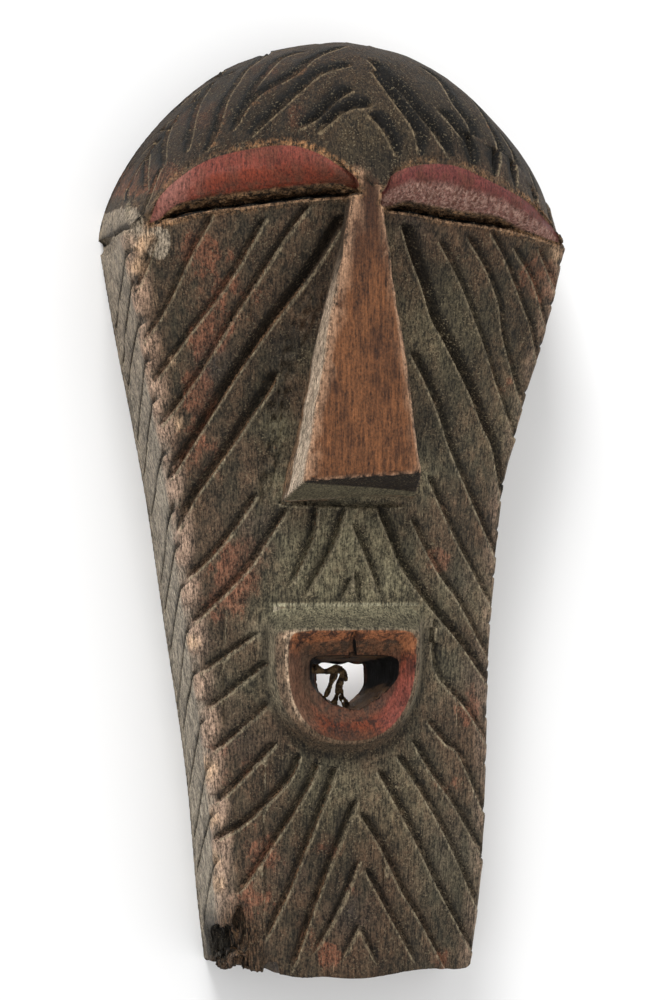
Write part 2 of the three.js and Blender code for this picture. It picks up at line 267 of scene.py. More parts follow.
def mouth_outline(u, v, centre, half, above, below, pinch=MOUTH_ROUNDNESS):
    """Square at the top, round or pinched at the bottom."""
    a = u * np.sqrt(1 - v * v / 2)
    b = v * np.sqrt(1 - u * u / 2)
    angle, reach = np.arctan2(b, a), np.hypot(a, b)
    power = np.where(b > 0, 2 / MOUTH_SQUARENESS, pinch)
    along = np.sign(a) * np.abs(np.cos(angle)) ** power
    rise = np.abs(np.sin(angle)) ** power
    return centre[0] + reach * half * along, centre[1] + reach * np.where(b > 0, above, -below) * rise


def mouth_block(name, bottom, top, pinch=MOUTH_ROUNDNESS):
    def shape(u, v, t):
        low, high = (mouth_outline(u, v, *layer[:4], pinch) for layer in (bottom, top))
        low_z, high_z = bottom[4](*low), top[4](*high)
        return mix(low[0], high[0], t), mix(low[1], high[1], t), mix(low_z, high_z, t)

    return block(name, (44, 44, 16), shape)


# Centre, half width, reach above and below: the block's root inside the face,
# its foot on the face, its top edge, the funnel between the lips and its
# floor, and the hole at its back and at its front.
LIP_ROOT = ((-0.9, -26), 15.6, 11.8, 20.4)
LIP_FOOT = ((-1.0, -26), 14.7, 8.6, 18.6)
LIP_BLOCK = ((-1.2, -26), 13.3, 4.8, 16.3)
LIP_FUNNEL = ((-0.55, -26.1), 11.9, 4.55, 15.7)
FUNNEL_FLOOR = ((-0.4, -30.5), 7.4, 3.6, 6.2)
HOLE_BACK = ((0.72, -32.0), 3.65, 3.6, 4.0)
HOLE_FRONT = ((0.1, -29.2), 9.3, 3.3, 7.5)
HOLE_BACK_Z, HOLE_FRONT_Z = 12, 33
HOLE_PINCH = 1.25


def outline_inside(x, y, centre, half, above, below):
    """Distance inside a mouth outline, roughly in millimetres."""
    a, b = np.abs(x - centre[0]) / half, y - centre[1]
    top = power_length(a, np.maximum(b, 0) / above, MOUTH_SQUARENESS)
    low = power_length(a, np.maximum(-b, 0) / below, 2 / MOUTH_ROUNDNESS)
    return (1 - np.where(b > 0, top, low)) * np.where(b > above * 0.6, above, 12)


def lip_rise(y):
    """How high the mouth block stands over the face."""
    return mix(2.6, 4.2, np.clip((y + 43) / 20, 0, 1))


def lip_top(x, y):
    return face_height(x, y) + lip_rise(y)


# Outlines of the eyes on the plan, from left to right.
EYES = (
    {"low": ((-37.2, 50.7), (-36.1, 50.9), (-32.4, 52.1), (-28, 53.1), (-21.3, 53.9), (-15, 54.7),
             (-9.7, 55.3), (-3.9, 55.7), (-1.6, 55.9)),
     "high": ((-37.2, 51.4), (-36.1, 55), (-34.3, 57.6), (-31.5, 60.2), (-28.3, 62.3), (-24.6, 63.6),
              (-20.1, 64.5), (-15.6, 65), (-12.2, 64.6), (-8.8, 63.2), (-6, 61.5), (-3.3, 59.8),
              (-2.1, 58.2), (-1.6, 56.4)),
     "crumbs": 1.5, "open": (-34, -4)},
    {"low": ((1.6, 53.9), (3.5, 53.5), (9.2, 52.8), (17, 51.6), (23.5, 51), (30.6, 50), (37.4, 48.5),
             (39.4, 48.1)),
     "high": ((1.6, 55), (2.4, 56.9), (3.2, 58.9), (5.6, 60.7), (9.3, 61.7), (13.7, 61.9), (17.6, 61.2),
              (22.1, 59.4), (27.1, 57.4), (31.8, 55.3), (35.3, 53), (38.6, 50.4), (39.4, 48.9)),
     "crumbs": 1.0, "open": (5.5, 27)},
)
# Width of the slit under a lid.
SLIT = 0.9


def eye_lines(eye, x):
    """Lower and upper outline of an eye, and how far it opens there (0 to 1)."""
    low = curve_through(*np.array(eye["low"]).T, x)
    high = curve_through(*np.array(eye["high"]).T, x)
    high = np.maximum(high, low + 0.3)
    return low, high, np.clip((high - low) / 6, 0, 1) ** 0.8


def eye_open(eye, x):
    """How far the slit under the lid stands open, 0 to 1."""
    start, end = eye["open"]
    return ramp(x, start - 2, start + 2) * ramp(x, end + 5, end - 3)


def eye_ends(eye):
    return eye["low"][0][0], eye["low"][-1][0]


def eye_recess(eye):
    """The cutter that makes room for an eyelid and the slit under it."""
    def shape(u, v, t):
        x = mix(*eye_ends(eye), (u + 1) / 2)
        low, high, arch = eye_lines(eye, x)
        y = mix(low, high, (v + 1) / 2)
        slit = cheek_height(x, low) - 0.6 - (0.6 + 3.4 * eye_open(eye, x)) * arch
        floor = mix(slit, face_height(x, y) - 1.3, ramp(y - low, SLIT, SLIT + 2))
        return x, y, mix(floor, FOREHEAD + 8, t)

    return block("eye_recess", (90, 30, 2), shape)


def eyelid(eye):
    """A bulging leaf whose crumbling lower edge stands over the slit."""
    heights = np.array([-3.2, -1.6, -0.1, 0.5, 1.0, 0.7, 0.1])
    closed = np.array([-0.6, 0.0, 0.3, 0.6, 1.0, 0.7, 0.1])

    def shape(u, v, t):
        left, right = eye_ends(eye)
        x = mix(left + 0.5, right - 0.5, (u + 1) / 2)
        low, high, arch = eye_lines(eye, x)
        start = low + np.minimum(SLIT * 0.8, 0.25 * (high - low)) * mix(0.15, 1, eye_open(eye, x))
        share = (v + 1) / 2
        y = mix(start, high - 0.2, share)
        chord = mix(cheek_height(x, low), face_height(x, high), np.sin(share * math.pi / 2) ** 0.8) - 0.45
        edge = np.minimum(0.5, eye["crumbs"] / np.maximum(high - start, 0.5))
        climbs = [mix(edge, 1, part) for part in (0.18, 0.45, 0.75)]
        steps = [0 * edge, 0.3 * edge, edge, *climbs, 0 * edge + 1]
        swell = 0 * share
        gape = eye_open(eye, x)
        for k in range(len(heights) - 1):
            part = np.clip((share - steps[k]) / (steps[k + 1] - steps[k]), 0, 1)
            here = mix(mix(closed[k], closed[k + 1], part), mix(heights[k], heights[k + 1], part), gape)
            swell = np.where(share >= steps[k], here, swell)
        return x, y, mix(18, chord + swell * arch, t)

    return block("eyelid", (100, 44, 2), shape)


# Rotted pockets at the lower left corner, and nicks at brow height in the
# outline: centre and half sizes.
ROT_POCKETS = (
    ((-21.2, -78.9, 16.6), (2.3, 3.8, 8.4)),
    ((-19.2, -76.0, 21.0), (1.2, 4.0, 2.6)),
    ((-19.0, -84.6, 18.0), (0.9, 3.6, 9.0)),
    ((-13.6, -86.0, 20.0), (1.5, 4.2, 11.0)),
    ((-17.0, -87.0, 10.0), (5.0, 6.0, 8.0)),
    ((-42.9, 48.0, 7.0), (2.7, 1.9, 16.0)),
    ((42.3, 48.3, 12.0), (1.6, 0.9, 14.0)),
)


# Ovals on the plan, centre and half sizes: the mouth, the hole, and the wood
# that is fibrous and that is stained by rot.
MOUTH_OVAL = ((-1.5, -32), (14.5, 15.5))
HOLE_OVAL = ((0.5, -31), (11, 9))
ROT_FIBRES = ((-18.8, -81.5), (4.6, 7.5))
ROT_STAIN = ((-19.6, -80.0), (5.4, 9.5))


def in_oval(x, y, centre, sizes):
    """0 at the middle of an oval, 1 on its line."""
    return np.hypot((x - centre[0]) / sizes[0], (y - centre[1]) / sizes[1])


def grid_points(mesh):
    flat = np.empty(len(mesh.vertices) * 3, dtype=np.float32)
    mesh.vertices.foreach_get("co", flat)
    return flat.reshape(-1, 3).astype(float)


def move_points(mesh, spots):
    mesh.vertices.foreach_set("co", np.ascontiguousarray(spots, dtype=np.float32).ravel())
    mesh.update()


def new_object(name, mesh):
    item = bpy.data.objects.new(name, mesh)
    bpy.context.scene.collection.objects.link(item)
    return item


def block(name, cells, shape):
    """A box of fine cells, moved to shape(u, v, t): u, v run -1..1, t runs 0..1."""
    bm = bmesh.new()
    bmesh.ops.create_cube(bm, size=2)
    for axis, count in enumerate(cells):
        edges = [e for e in bm.edges if abs((e.verts[0].co - e.verts[1].co)[axis]) > 1e-6]
        bmesh.ops.subdivide_edges(bm, edges=edges, cuts=count - 1, use_grid_fill=True)
    mesh = bpy.data.meshes.new(name)
    bm.to_mesh(mesh)
    bm.free()
    u, v, w = grid_points(mesh).T
    moved = shape(u, v, (w + 1) / 2)
    move_points(mesh, np.stack(np.broadcast_arrays(*moved), axis=1))
    bm = bmesh.new()
    bm.from_mesh(mesh)
    bmesh.ops.remove_doubles(bm, verts=bm.verts, dist=1e-4)
    bmesh.ops.recalc_face_normals(bm, faces=bm.faces)
    bm.to_mesh(mesh)
    bm.free()
    return new_object(name, mesh)


def pocket(centre, sizes, seed):
    """A lumpy ball for wood that has rotted away."""
    bm = bmesh.new()
    bmesh.ops.create_icosphere(bm, subdivisions=4, radius=1)
    mesh = bpy.data.meshes.new("pocket")
    bm.to_mesh(mesh)
    bm.free()
    ball = grid_points(mesh)
    lumps = 1 + 0.22 * wander(ball * (3, 1.2, 3), 1.4, seed)[:, None]
    move_points(mesh, np.array(centre) + ball * lumps * sizes)
    return new_object("pocket", mesh)


def wander(spots, cell, seed):
    """Smooth seeded noise from -1 to 1 with lumps about one cell wide."""
    side = 32
    table = np.random.default_rng(seed).uniform(-1, 1, (side, side, side))
    place = np.asarray(spots) / cell
    corner = np.floor(place).astype(int)
    share = place - corner
    share = share * share * (3 - 2 * share)
    level = 0
    for dx in (0, 1):
        for dy in (0, 1):
            for dz in (0, 1):
                weight = 1.0
                for axis, side_on in enumerate((dx, dy, dz)):
                    weight = weight * (share[:, axis] if side_on else 1 - share[:, axis])
                i, j, k = ((corner + (dx, dy, dz)) % side).T
                level = level + weight * table[i, j, k]
    return level


# The knife cuts.

# A cut of this depth tilts the wood beside it by the full amount.
USUAL_DEPTH = 0.75

# Cuts in the face: width of the upper wall, depth and the points passed.
FACE_CUTS = (
    (0.8, 0.7, (-13.6, 1.1), (-6, 0.7), (2, 0.5), (9.4, 0.6)),
    (0.9, 0.7, (-35.9, 48.8), (-38.2, 41.3), (-40.4, 36.6)),
    (0.9, 0.7, (-26.7, 52.6), (-30.1, 45.7), (-34.3, 35.8), (-38.6, 28.4)),
    (1.0, 0.8, (-17.7, 51.8), (-22.6, 42.6), (-26, 37.1), (-30, 31.6), (-37.6, 19.8)),
    (1.0, 0.8, (-10.2, 54.0), (-14.6, 47.7), (-21.4, 36.4), (-24.4, 31.2), (-29.1, 22.9),
     (-36.6, 11.6)),
    (1.8, 1.4, (-3.5, 52.0), (-8.4, 43.5), (-15.9, 33.2), (-20.4, 26.4), (-25.4, 18), (-34.6, 1.8)),
    (1.6, 1.1, (-14.6, 24.4), (-16.2, 20.9), (-18.1, 18.2), (-20, 15.2), (-22.8, 10.7), (-26.3, 5.3),
     (-29, 0.8), (-32.6, -8.6)),
    (1.0, 0.8, (-17.7, 2.6), (-23.6, -6.4), (-31.9, -15.4)),
    (1.1, 0.8, (-12.2, 0.1), (-15.2, -4.6), (-18.6, -10.2), (-22.1, -14.3), (-30.6, -23.2)),
    (0.9, 0.7, (-17.1, -22.4), (-26.7, -29.5), (-29.6, -31.8)),
    (1.0, 0.7, (-15.1, -27.5), (-26.6, -37.2), (-28.9, -39.4)),
    (0.9, 0.7, (-14.1, -34.5), (-25.8, -45.5), (-27.9, -47.6)),
    (1.0, 0.8, (-13.5, -42.3), (-17.7, -46.9), (-24.6, -54.6), (-26.7, -56.9)),
    (1.2, 0.9, (-9.2, -44.3), (-11.1, -48.8), (-18.2, -56.3), (-23.9, -60.2), (-26.3, -61.9)),
    (1.1, 0.9, (-5.6, -45.2), (-7.2, -49.2), (-10.3, -54.8), (-13.7, -60.2), (-17.4, -66.3),
     (-19.9, -69.6)),
    (1.1, 0.9, (-2.4, -45.9), (-4.1, -51.2), (-8.3, -61.8), (-10.9, -68.7), (-15.2, -78.4)),
    (1.1, 0.9, (1.2, -52.7), (-1.5, -59.2), (-4, -65.1), (-7, -73.4), (-10.4, -83.6)),
    (0.9, 0.7, (1.7, -63.7), (-0.7, -69.5), (-3, -74.2), (-6.6, -80.5)),
    (0.7, 0.5, (1.8, -75.2), (0.2, -78.4), (-1.5, -81.8)),
    (1.2, 0.8, (-7.1, 0.9), (-7.8, -5.5), (-11.4, -13.8)),
    (1.1, 0.8, (-1.8, 0.4), (-4, -6.4), (-8.8, -15.6)),
    (0.9, 0.7, (-0.4, -2.7), (2.7, -9.6), (4.9, -15.4)),
    (0.8, 0.6, (-0.6, -12.4), (-1.6, -15.0), (-3.0, -16.9)),
    (0.9, 0.8, (0.2, -11.4), (0.5, -14.2), (0.9, -16.9)),
    (1.9, 1.5, (7, 50.7), (8.6, 46.1), (11.1, 40.3), (13.3, 34.4), (16, 30.3), (18.6, 25.9),
     (21.9, 20.4), (24.7, 14.8), (27, 10.5), (30.6, -4.6)),
    (1.2, 0.9, (9.6, 28), (12.6, 23), (15.8, 16.7), (18, 11.1), (22.9, 1.7), (29.8, -11.4)),
    (0.9, 0.8, (14.4, 48), (19.1, 40.4), (23.4, 31.5), (26.3, 24.9), (31.9, 12.6)),
    (1.0, 0.8, (19.9, 49), (24.1, 43), (26.9, 36.8), (28.2, 30.9), (33.6, 16.9)),
    (0.9, 0.7, (24.5, 50), (27.4, 45.8), (30.3, 40.3), (34, 32.5), (36.6, 23.4)),
    (0.8, 0.6, (29.4, 47.3), (33.6, 41.9), (36.5, 34.9), (38.3, 30.4)),
    (0.8, 0.6, (34.8, 47.3), (38.3, 41.1), (39.8, 37.6)),
    (1.0, 0.8, (13.8, 5.7), (18.7, -3.4), (24.4, -12.7), (29.0, -19.9)),
    (0.9, 0.8, (10.7, -1.7), (13.2, -6.4), (16.9, -12.1), (21.4, -17.7), (28.5, -29.4)),
    (1.5, 1.1, (3.9, 0.6), (6.5, -5), (8.6, -9.7), (12.8, -15.3), (17.1, -20), (21.6, -24.8),
     (28.3, -33.4)),
    (0.9, 0.7, (15.5, -20), (16.3, -29.5), (22.8, -36.4), (28.3, -44.6)),
    (0.9, 0.7, (14.7, -38.4), (18.6, -42.6), (21.5, -44.9), (27.9, -58.0)),
    (1.1, 0.8, (11.9, -42.1), (16, -48.2), (20.6, -54), (27.6, -65.0)),
    (1.1, 0.9, (8.9, -44.8), (14.3, -52.2), (20.3, -62.1), (26.8, -75.2)),
    (1.1, 0.9, (5.3, -47.4), (10, -55.4), (14, -62.6), (17.7, -69.3), (25.2, -81.6)),
    (1.0, 0.9, (2, -55.2), (5.8, -60.9), (10.1, -69), (13.8, -74.6), (19.4, -84.0)),
    (1.0, 0.8, (3, -65.2), (6.9, -72), (13.0, -82.4)),
    (0.7, 0.5, (2.1, -75.7), (5.4, -82.6)),
)
FOREHEAD_CUTS = (
    (1.0, 0.5, (-7.1, 85), (-11.2, 83.8), (-17.8, 79.8), (-20.2, 77.2), (-22.4, 74.6), (-24.1, 71.6),
     (-26.1, 66.9), (-28, 64.1)),
    (1.0, 0.5, (-8.5, 82.8), (-12.1, 81.7), (-14.7, 79.6), (-17, 77.2), (-18.9, 74.8), (-20.8, 71.8),
     (-23.4, 67.7)),
    (1.1, 0.6, (-0.7, 83.7), (-5, 82.3), (-8.1, 80.8), (-10.4, 78.8), (-13.3, 76.9), (-17.5, 74.5),
     (-20.5, 71.7), (-22.6, 68.6)),
    (1.0, 0.5, (-1.8, 79.6), (-7.4, 77.9), (-11.3, 74.9), (-16.7, 70.2), (-20.5, 66.6)),
    (0.9, 0.45, (-2.5, 74.8), (-5.1, 73.3), (-8.6, 70.1), (-12.3, 67.8)),
    (0.9, 0.45, (0.6, 71.8), (-3.2, 71.4), (-6.1, 69.6), (-9.3, 66.9)),
    (1.0, 0.5, (-18.4, 81.2), (-23.7, 76.6), (-27.5, 71.8), (-30.6, 64.3)),
    (1.1, 0.6, (-24.4, 76.5), (-29.5, 71.3), (-32.5, 66.8), (-34.1, 61.8)),
    (1.0, 0.6, (-30.4, 70.9), (-34.4, 65.3), (-36.1, 61.3), (-37.1, 57.4)),
    (1.0, 0.6, (-32.9, 67.2), (-36.1, 62.8), (-38.7, 57.9), (-40.4, 52.9)),
    (0.8, 0.5, (-34.6, 61.2), (-36.1, 58), (-37.3, 55.1), (-38.3, 52.8), (-38.8, 50.9)),
    (0.7, 0.45, (-37.6, 60.4), (-39.2, 57.2), (-40.5, 53.6), (-41, 51.2)),
    (1.1, 0.6, (1.9, 80.7), (3.6, 77.8), (6.5, 75), (9.2, 71.1), (11.5, 68.3), (13.2, 65.7),
     (15.1, 62.9)),
    (1.0, 0.5, (1.9, 78.3), (3.8, 74.9), (5.6, 72), (7.1, 69.8), (8.4, 67.6), (9.2, 63.3)),
    (0.9, 0.45, (0.2, 70.2), (1.9, 68.4), (3.6, 65.7), (4.7, 62.9)),
    (1.1, 0.6, (12.5, 80.2), (15.6, 77.5), (17.2, 72.7), (19.6, 69), (19.7, 64.3), (19.6, 62)),
    (1.0, 0.5, (13.8, 71.5), (16.7, 67.9), (19.1, 64.7), (19.4, 61.8)),
    (1.1, 0.6, (22, 75.2), (24.3, 69.4), (25.4, 64.7), (24.1, 60)),
    (1.0, 0.6, (26.8, 69), (28.9, 64), (28.4, 58.4)),
    (1.0, 0.6, (32.9, 62.5), (33.6, 57.8), (33.2, 54.4)),
    (0.9, 0.6, (39, 58), (37.6, 52.7), (37.5, 50.6)),
)

# Hair cracks along the grain.
CRACKS = (
    ((-15.4, -46.0), (-15.6, -58.0), (-15.2, -70.0), (-15.6, -82.0)),
    ((-22.6, -18.0), (-22.9, -30.0), (-22.5, -41.0)),
    ((-19.4, 40.0), (-19.7, 31.0)),
    ((6.6, -61.0), (6.4, -70.0)),
    ((-23.6, -62.0), (-23.3, -72.0)),
    ((20.6, -34.0), (20.9, -43.0)),
)
CRACK_WIDTH, CRACK_DEPTH = 0.3, 0.35

# Where the cuts of the side walls start at the ridge, from the brow down, and
# how far they drop on their way.
LEFT_WALL_STARTS = (46, 40.5, 33.5, 26.5, 19.5, 10.1, 0.5, -6.5, -13.5, -21, -29.2, -38, -46.5, -55, -63.5)
RIGHT_WALL_STARTS = (44.5, 37, 29.5, 21, 13, 4.5, -4, -12.5, -21, -29.5, -38, -46.5, -55, -64)
WALL_DROP = 13.0
# Round the side of the forehead: the angles and the heights of the cuts.
DOME_CUT_ANGLES = range(34, 150, 9)
DOME_CUT_TOP, DOME_CUT_LOW = 17.0, 2.0

# The share of a cut's width that its steep lower wall takes.
LOWER_WALL = 0.5
# How far from a cut its marks are followed.
REACH_OUT = 4.0
# A distance so large that no mark shows there.
BIG = 9.0
# How far beside a cut the wood is lifted or pressed down.
SHINGLE_REACH = 1.6
FACE_OUT, LEFT_OUT, RIGHT_OUT = np.array([0.0, 0, 1]), np.array([-1.0, 0, 0]), np.array([1.0, 0, 0])


def smooth_path(points, spacing=1.2):
    """Points a little apart on the round curve through the given ones."""
    points = np.array(points, dtype=float)
    ends = np.concatenate([[2 * points[0] - points[1]], points, [2 * points[-1] - points[-2]]])
    path = []
    for k in range(1, len(ends) - 2):
        before, here, there, after = ends[k - 1 : k + 3]
        count = max(2, int(np.linalg.norm(there - here) / spacing))
        bend = 2 * before - 5 * here + 4 * there - after
        turn = 3 * here - before - 3 * there + after
        for t in np.arange(count) / count:
            path.append(here + 0.5 * t * (there - before + t * (bend + t * turn)))
    return np.array(path + [ends[-2]])


def on_face(path):
    path = np.asarray(path)
    return np.column_stack([path, face_height(path[:, 0], path[:, 1])])


def wall_path(side, start, drop, low=2.0):
    """A slanted cut from the ridge down a side wall."""
    share = np.linspace(-0.06, 1, 8)
    y = start - drop * share
    z = mix(edge_height(y), low, share)
    return np.column_stack([side * (half_width(side + 0 * y, y) - 0.15), y, z])


def dome_side_path(angle, slant):
    """A slanted cut from the edge of the forehead down the side of the dome."""
    z = np.linspace(DOME_CUT_TOP, DOME_CUT_LOW, 12)
    share = (DOME_CUT_TOP - z) / (DOME_CUT_TOP - DOME_CUT_LOW)
    turn = np.radians(angle + slant * share * (1 if angle > 90 else -1))
    out = (1 - (z / FOREHEAD) ** DOME_POWER) ** (1 / DOME_POWER)
    half = np.where(np.cos(turn) < 0, LEFT_HALF[-1], RIGHT_HALF[-1])
    x = np.sign(np.cos(turn)) * half * out * np.abs(np.cos(turn)) ** (2 / OUTLINE_POWER)
    y = unclimb(out * np.sin(turn) ** (2 / OUTLINE_POWER))
    return np.column_stack([x, y, z])


def near_path(spots, path, out):
    """Signed distance to a path (plus on its upper side), the upward direction,
    the length passed, the whole length and how far a spot lies past an end."""
    nearest = np.full(len(spots), 1e9)
    signed = np.full(len(spots), 1e9)
    along, past = np.zeros((2, len(spots)))
    up = np.zeros((len(spots), 3))
    lengths = np.linalg.norm(np.diff(path, axis=0), axis=1)
    passed = np.concatenate([[0], np.cumsum(lengths)])
    for k, length in enumerate(lengths):
        step = path[k + 1] - path[k]
        box_low = np.minimum(path[k], path[k + 1]) - REACH_OUT
        box_high = np.maximum(path[k], path[k + 1]) + REACH_OUT
        here = np.where(np.all((spots > box_low) & (spots < box_high), axis=1))[0]
        local = spots[here]
        share = (local - path[k]) @ step / length**2
        t = np.clip(share, 0, 1)
        gap = local - path[k] - t[:, None] * step
        over = (k == 0) * np.maximum(-share, 0) + (k == len(lengths) - 1) * np.maximum(share - 1, 0)
        far = np.linalg.norm(gap, axis=1)
        upward = np.cross(out, step)
        upward = upward * (1 if upward[1] >= 0 else -1) / np.linalg.norm(upward)
        closer = far < nearest[here]
        spot = here[closer]
        nearest[spot] = far[closer]
        signed[spot] = (far * np.where(gap @ upward >= 0, 1, -1))[closer]
        along[spot] = (passed[k] + t * length)[closer]
        past[spot] = (over * length)[closer]
        up[spot] = upward
    return signed, up, along, passed[-1], past


def all_cuts():
    """Every cut as path, outward direction, width, depth and whether it runs out."""
    cuts = []
    for width, depth, *points in FACE_CUTS:
        runs_out = abs(points[-1][0]) > 24 and points[-1][1] < 45
        cuts.append((on_face(smooth_path(points)), FACE_OUT, width, depth, runs_out))
    for width, depth, *points in FOREHEAD_CUTS:
        cuts.append((on_face(smooth_path(points)), FACE_OUT, 1.7 * width, 1.35 * depth, False))
    for points in CRACKS:
        cuts.append((on_face(smooth_path(points)), FACE_OUT, CRACK_WIDTH, CRACK_DEPTH, False))
    for side, out, starts in ((-1, LEFT_OUT, LEFT_WALL_STARTS), (1, RIGHT_OUT, RIGHT_WALL_STARTS)):
        for k, start in enumerate(starts):
            slant = WALL_DROP + 1.5 * math.sin(2.3 * k)
            cuts.append((wall_path(side, start, slant), out, 0.85, 0.65, True))
        notch = wall_path(side, 50.2 if side < 0 else 48.4, 2.0, 0.0)
        cuts.append((notch, out, 1.3, 1.2, True))
    for k, angle in enumerate(DOME_CUT_ANGLES):
        path = dome_side_path(angle + 1.5 * math.sin(3.1 * k), 18 + 3 * math.sin(2.3 * k))
        cuts.append((path, FACE_OUT, 1.3, 0.75, True))
    return cuts


def follow_cuts(spots, cuts, snap=0.0):
    """How deep each spot is sunk and tilted, its distances to the upper wall,
    the lower wall and the lip of the nearest cuts in cut widths, and the small
    slide that brings it onto a sharp line."""
    sunk, tilt = np.zeros((2, len(spots)))
    nearest, upper, lower_wall, lip = np.full((4, len(spots)), BIG)
    slide = np.zeros((len(spots), 3))
    for path, out, width, depth, runs_out in cuts:
        low, high = path.min(axis=0) - REACH_OUT, path.max(axis=0) + REACH_OUT
        near = np.where(np.all((spots > low) & (spots < high), axis=1))[0]
        if not len(near):
            continue
        signed, up, along, length, past = near_path(spots[near], path, out)
        taper = ramp(along, -0.5, 1.2) * (1 if runs_out else ramp(length - along, -0.6, 3.0))
        wide = width * mix(0.4, 1, taper) * mix(1.15, 0.85, along / length)
        lower = np.minimum(LOWER_WALL * wide, 0.3)
        scaled = np.where(signed > 0, signed / wide, LOWER_WALL * signed / lower)
        profile = np.clip(np.minimum(1 - scaled, 1 + scaled / LOWER_WALL), 0, 1)
        within = ramp(past, 0.9, 0.1)
        sunk[near] = np.maximum(sunk[near], depth * mix(0.25, 1, taper) * profile * within)
        if snap:
            move = np.zeros(len(near))
            for line in (-lower, 0 * wide, wide):
                off = line - signed
                move = np.where(np.abs(off) < snap, off, move)
            closer = np.abs(scaled) < nearest[near]
            slide[near[closer]] = (up * move[:, None])[closer]
            nearest[near] = np.minimum(nearest[near], np.abs(scaled))
        fade = BIG * (1 - within)
        upper[near] = np.minimum(upper[near], np.where(scaled > -0.02, np.abs(scaled), BIG) + fade)
        lower_wall[near] = np.minimum(lower_wall[near], np.abs(scaled + LOWER_WALL / 2) + fade)
        below = np.where(scaled < 0.02 - LOWER_WALL, np.abs(scaled + LOWER_WALL), BIG)
        lip[near] = np.minimum(lip[near], below + fade)
        raised = np.exp(np.minimum(signed, 0) / SHINGLE_REACH)
        pressed = -0.8 * np.exp(-np.maximum(signed, 0) / SHINGLE_REACH)
        shingle = np.where(signed < 0, raised, pressed)
        tilt[near] += (depth / USUAL_DEPTH) * taper * shingle * within * (width > 0.5)
    return sunk, tilt, upper, lower_wall, lip, slide


# The carving.

# Shreds of dry fibre caught in the mouth hole: thickness and points.
SHREDS = (
    (0.52, (-5.4, -28.9, 21.5), (-2.9, -29.5, 20.5), (-0.9, -29.0, 20), (0.7, -29.9, 19.6),
     (1.1, -31.3, 19)),
    (0.32, (-1.2, -29.4, 20), (-2.2, -32.4, 19.6), (-2.9, -34.0, 19.2), (-3.9, -34.9, 18.6)),
    (0.42, (0.3, -29.8, 20), (-0.4, -32.6, 19.4), (-0.9, -34.6, 19), (-1.7, -36.4, 18.4)),
    (0.27, (-0.3, -32.0, 19.5), (0.6, -34.2, 19), (1.4, -35.7, 18.6)),
    (0.26, (0.2, -33.4, 19.2), (0.1, -34.8, 19), (0.9, -35.9, 18.8)),
)
# Chipped edges of the nose: edge, reach, depth and seed.
NOSE_CHIPS = (
    ((TOP_LEFT, TIP_LEFT), 0.7, 0.22, 15),
    ((TOP_RIGHT, TIP_RIGHT), 0.6, 0.16, 16),
    ((TIP_LEFT, TIP_RIGHT), 1.1, 0.42, 17),
)
# The grain of the skin that is laid over the joined blocks.
VOXEL = 0.21
MOST_TRIANGLES = 190_000


def finished_mesh(item):
    """The mesh of an item with its modifiers applied."""
    graph = bpy.context.evaluated_depsgraph_get()
    return bpy.data.meshes.new_from_object(item.evaluated_get(graph))


def shred(thick, *points):
    """A tapering strand of fibre along its points."""
    path = smooth_path(points, 0.4)
    heading = np.gradient(path[:, :2], axis=0)
    heading /= np.linalg.norm(heading, axis=1)[:, None]
    count = np.arange(len(path))

    def shape(u, v, t):
        place = t * (len(path) - 1)
        at = [np.interp(place, count, path[:, k]) for k in range(3)]
        along = [np.interp(place, count, heading[:, k]) for k in range(2)]
        radius = thick * (1 - 0.35 * t) * (1 + 0.4 * np.sin(11 * t + 40 * thick))
        a = u * np.sqrt(1 - v * v / 2) * radius
        return at[0] - along[1] * a, at[1] + along[0] * a, at[2] + v * np.sqrt(1 - u * u / 2) * radius

    return block("shred", (4, 4, 24), shape)


def rough_out():
    """The blank with nose, mouth and lids set on and the hollows cut away."""
    body = block("blank", (72, 96, 14), mask_point)
    steps = [("UNION", block("nose", (10, 30, 12), nose_point))]
    root = (*LIP_ROOT, lambda x, y: face_height(x, y) - 4)
    steps.append(("UNION", mouth_block("mouth", root, (*LIP_BLOCK, lip_top))))
    for eye in EYES:
        steps.append(("DIFFERENCE", eye_recess(eye)))
    for eye in EYES:
        steps.append(("UNION", eyelid(eye)))
    floor = (*FUNNEL_FLOOR, lambda x, y: face_height(x, y) - 1.0)
    mouth = (*LIP_FUNNEL, lambda x, y: lip_top(x, y) + 0.4)
    steps.append(("DIFFERENCE", mouth_block("lip_funnel", floor, mouth)))
    back = (*HOLE_BACK, lambda x, y: HOLE_BACK_Z + 0 * x)
    front = (*HOLE_FRONT, lambda x, y: HOLE_FRONT_Z + 0 * x)
    steps.append(("DIFFERENCE", mouth_block("mouth_hole", back, front, HOLE_PINCH)))
    steps.append(("DIFFERENCE", block("trough", (40, 60, 12), trough_point)))
    for strand in SHREDS:
        steps.append(("UNION", shred(*strand)))
    for k, (centre, sizes) in enumerate(ROT_POCKETS):
        steps.append(("DIFFERENCE", pocket(centre, sizes, 40 + k)))
    for operation, tool in steps:
        cut = body.modifiers.new(tool.name, "BOOLEAN")
        cut.operation, cut.object, cut.solver = operation, tool, "MANIFOLD"
    skin = body.modifiers.new("skin", "REMESH")
    skin.mode, skin.voxel_size, skin.adaptivity = "VOXEL", VOXEL, 0
    mesh = finished_mesh(body)
    for tool in [tool for _, tool in steps] + [body]:
        bpy.data.objects.remove(tool)
    return mesh


def normals_of(mesh):
    flat = np.empty(len(mesh.vertices) * 3, dtype=np.float32)
    mesh.vertex_normals.foreach_get("vector", flat)
    return flat.reshape(-1, 3).astype(float)


def nose_line(edge):
    """Points along an edge of the nose."""
    start, end = np.array(edge)
    return mix(start, end, np.linspace(0, 1, 12)[:, None])


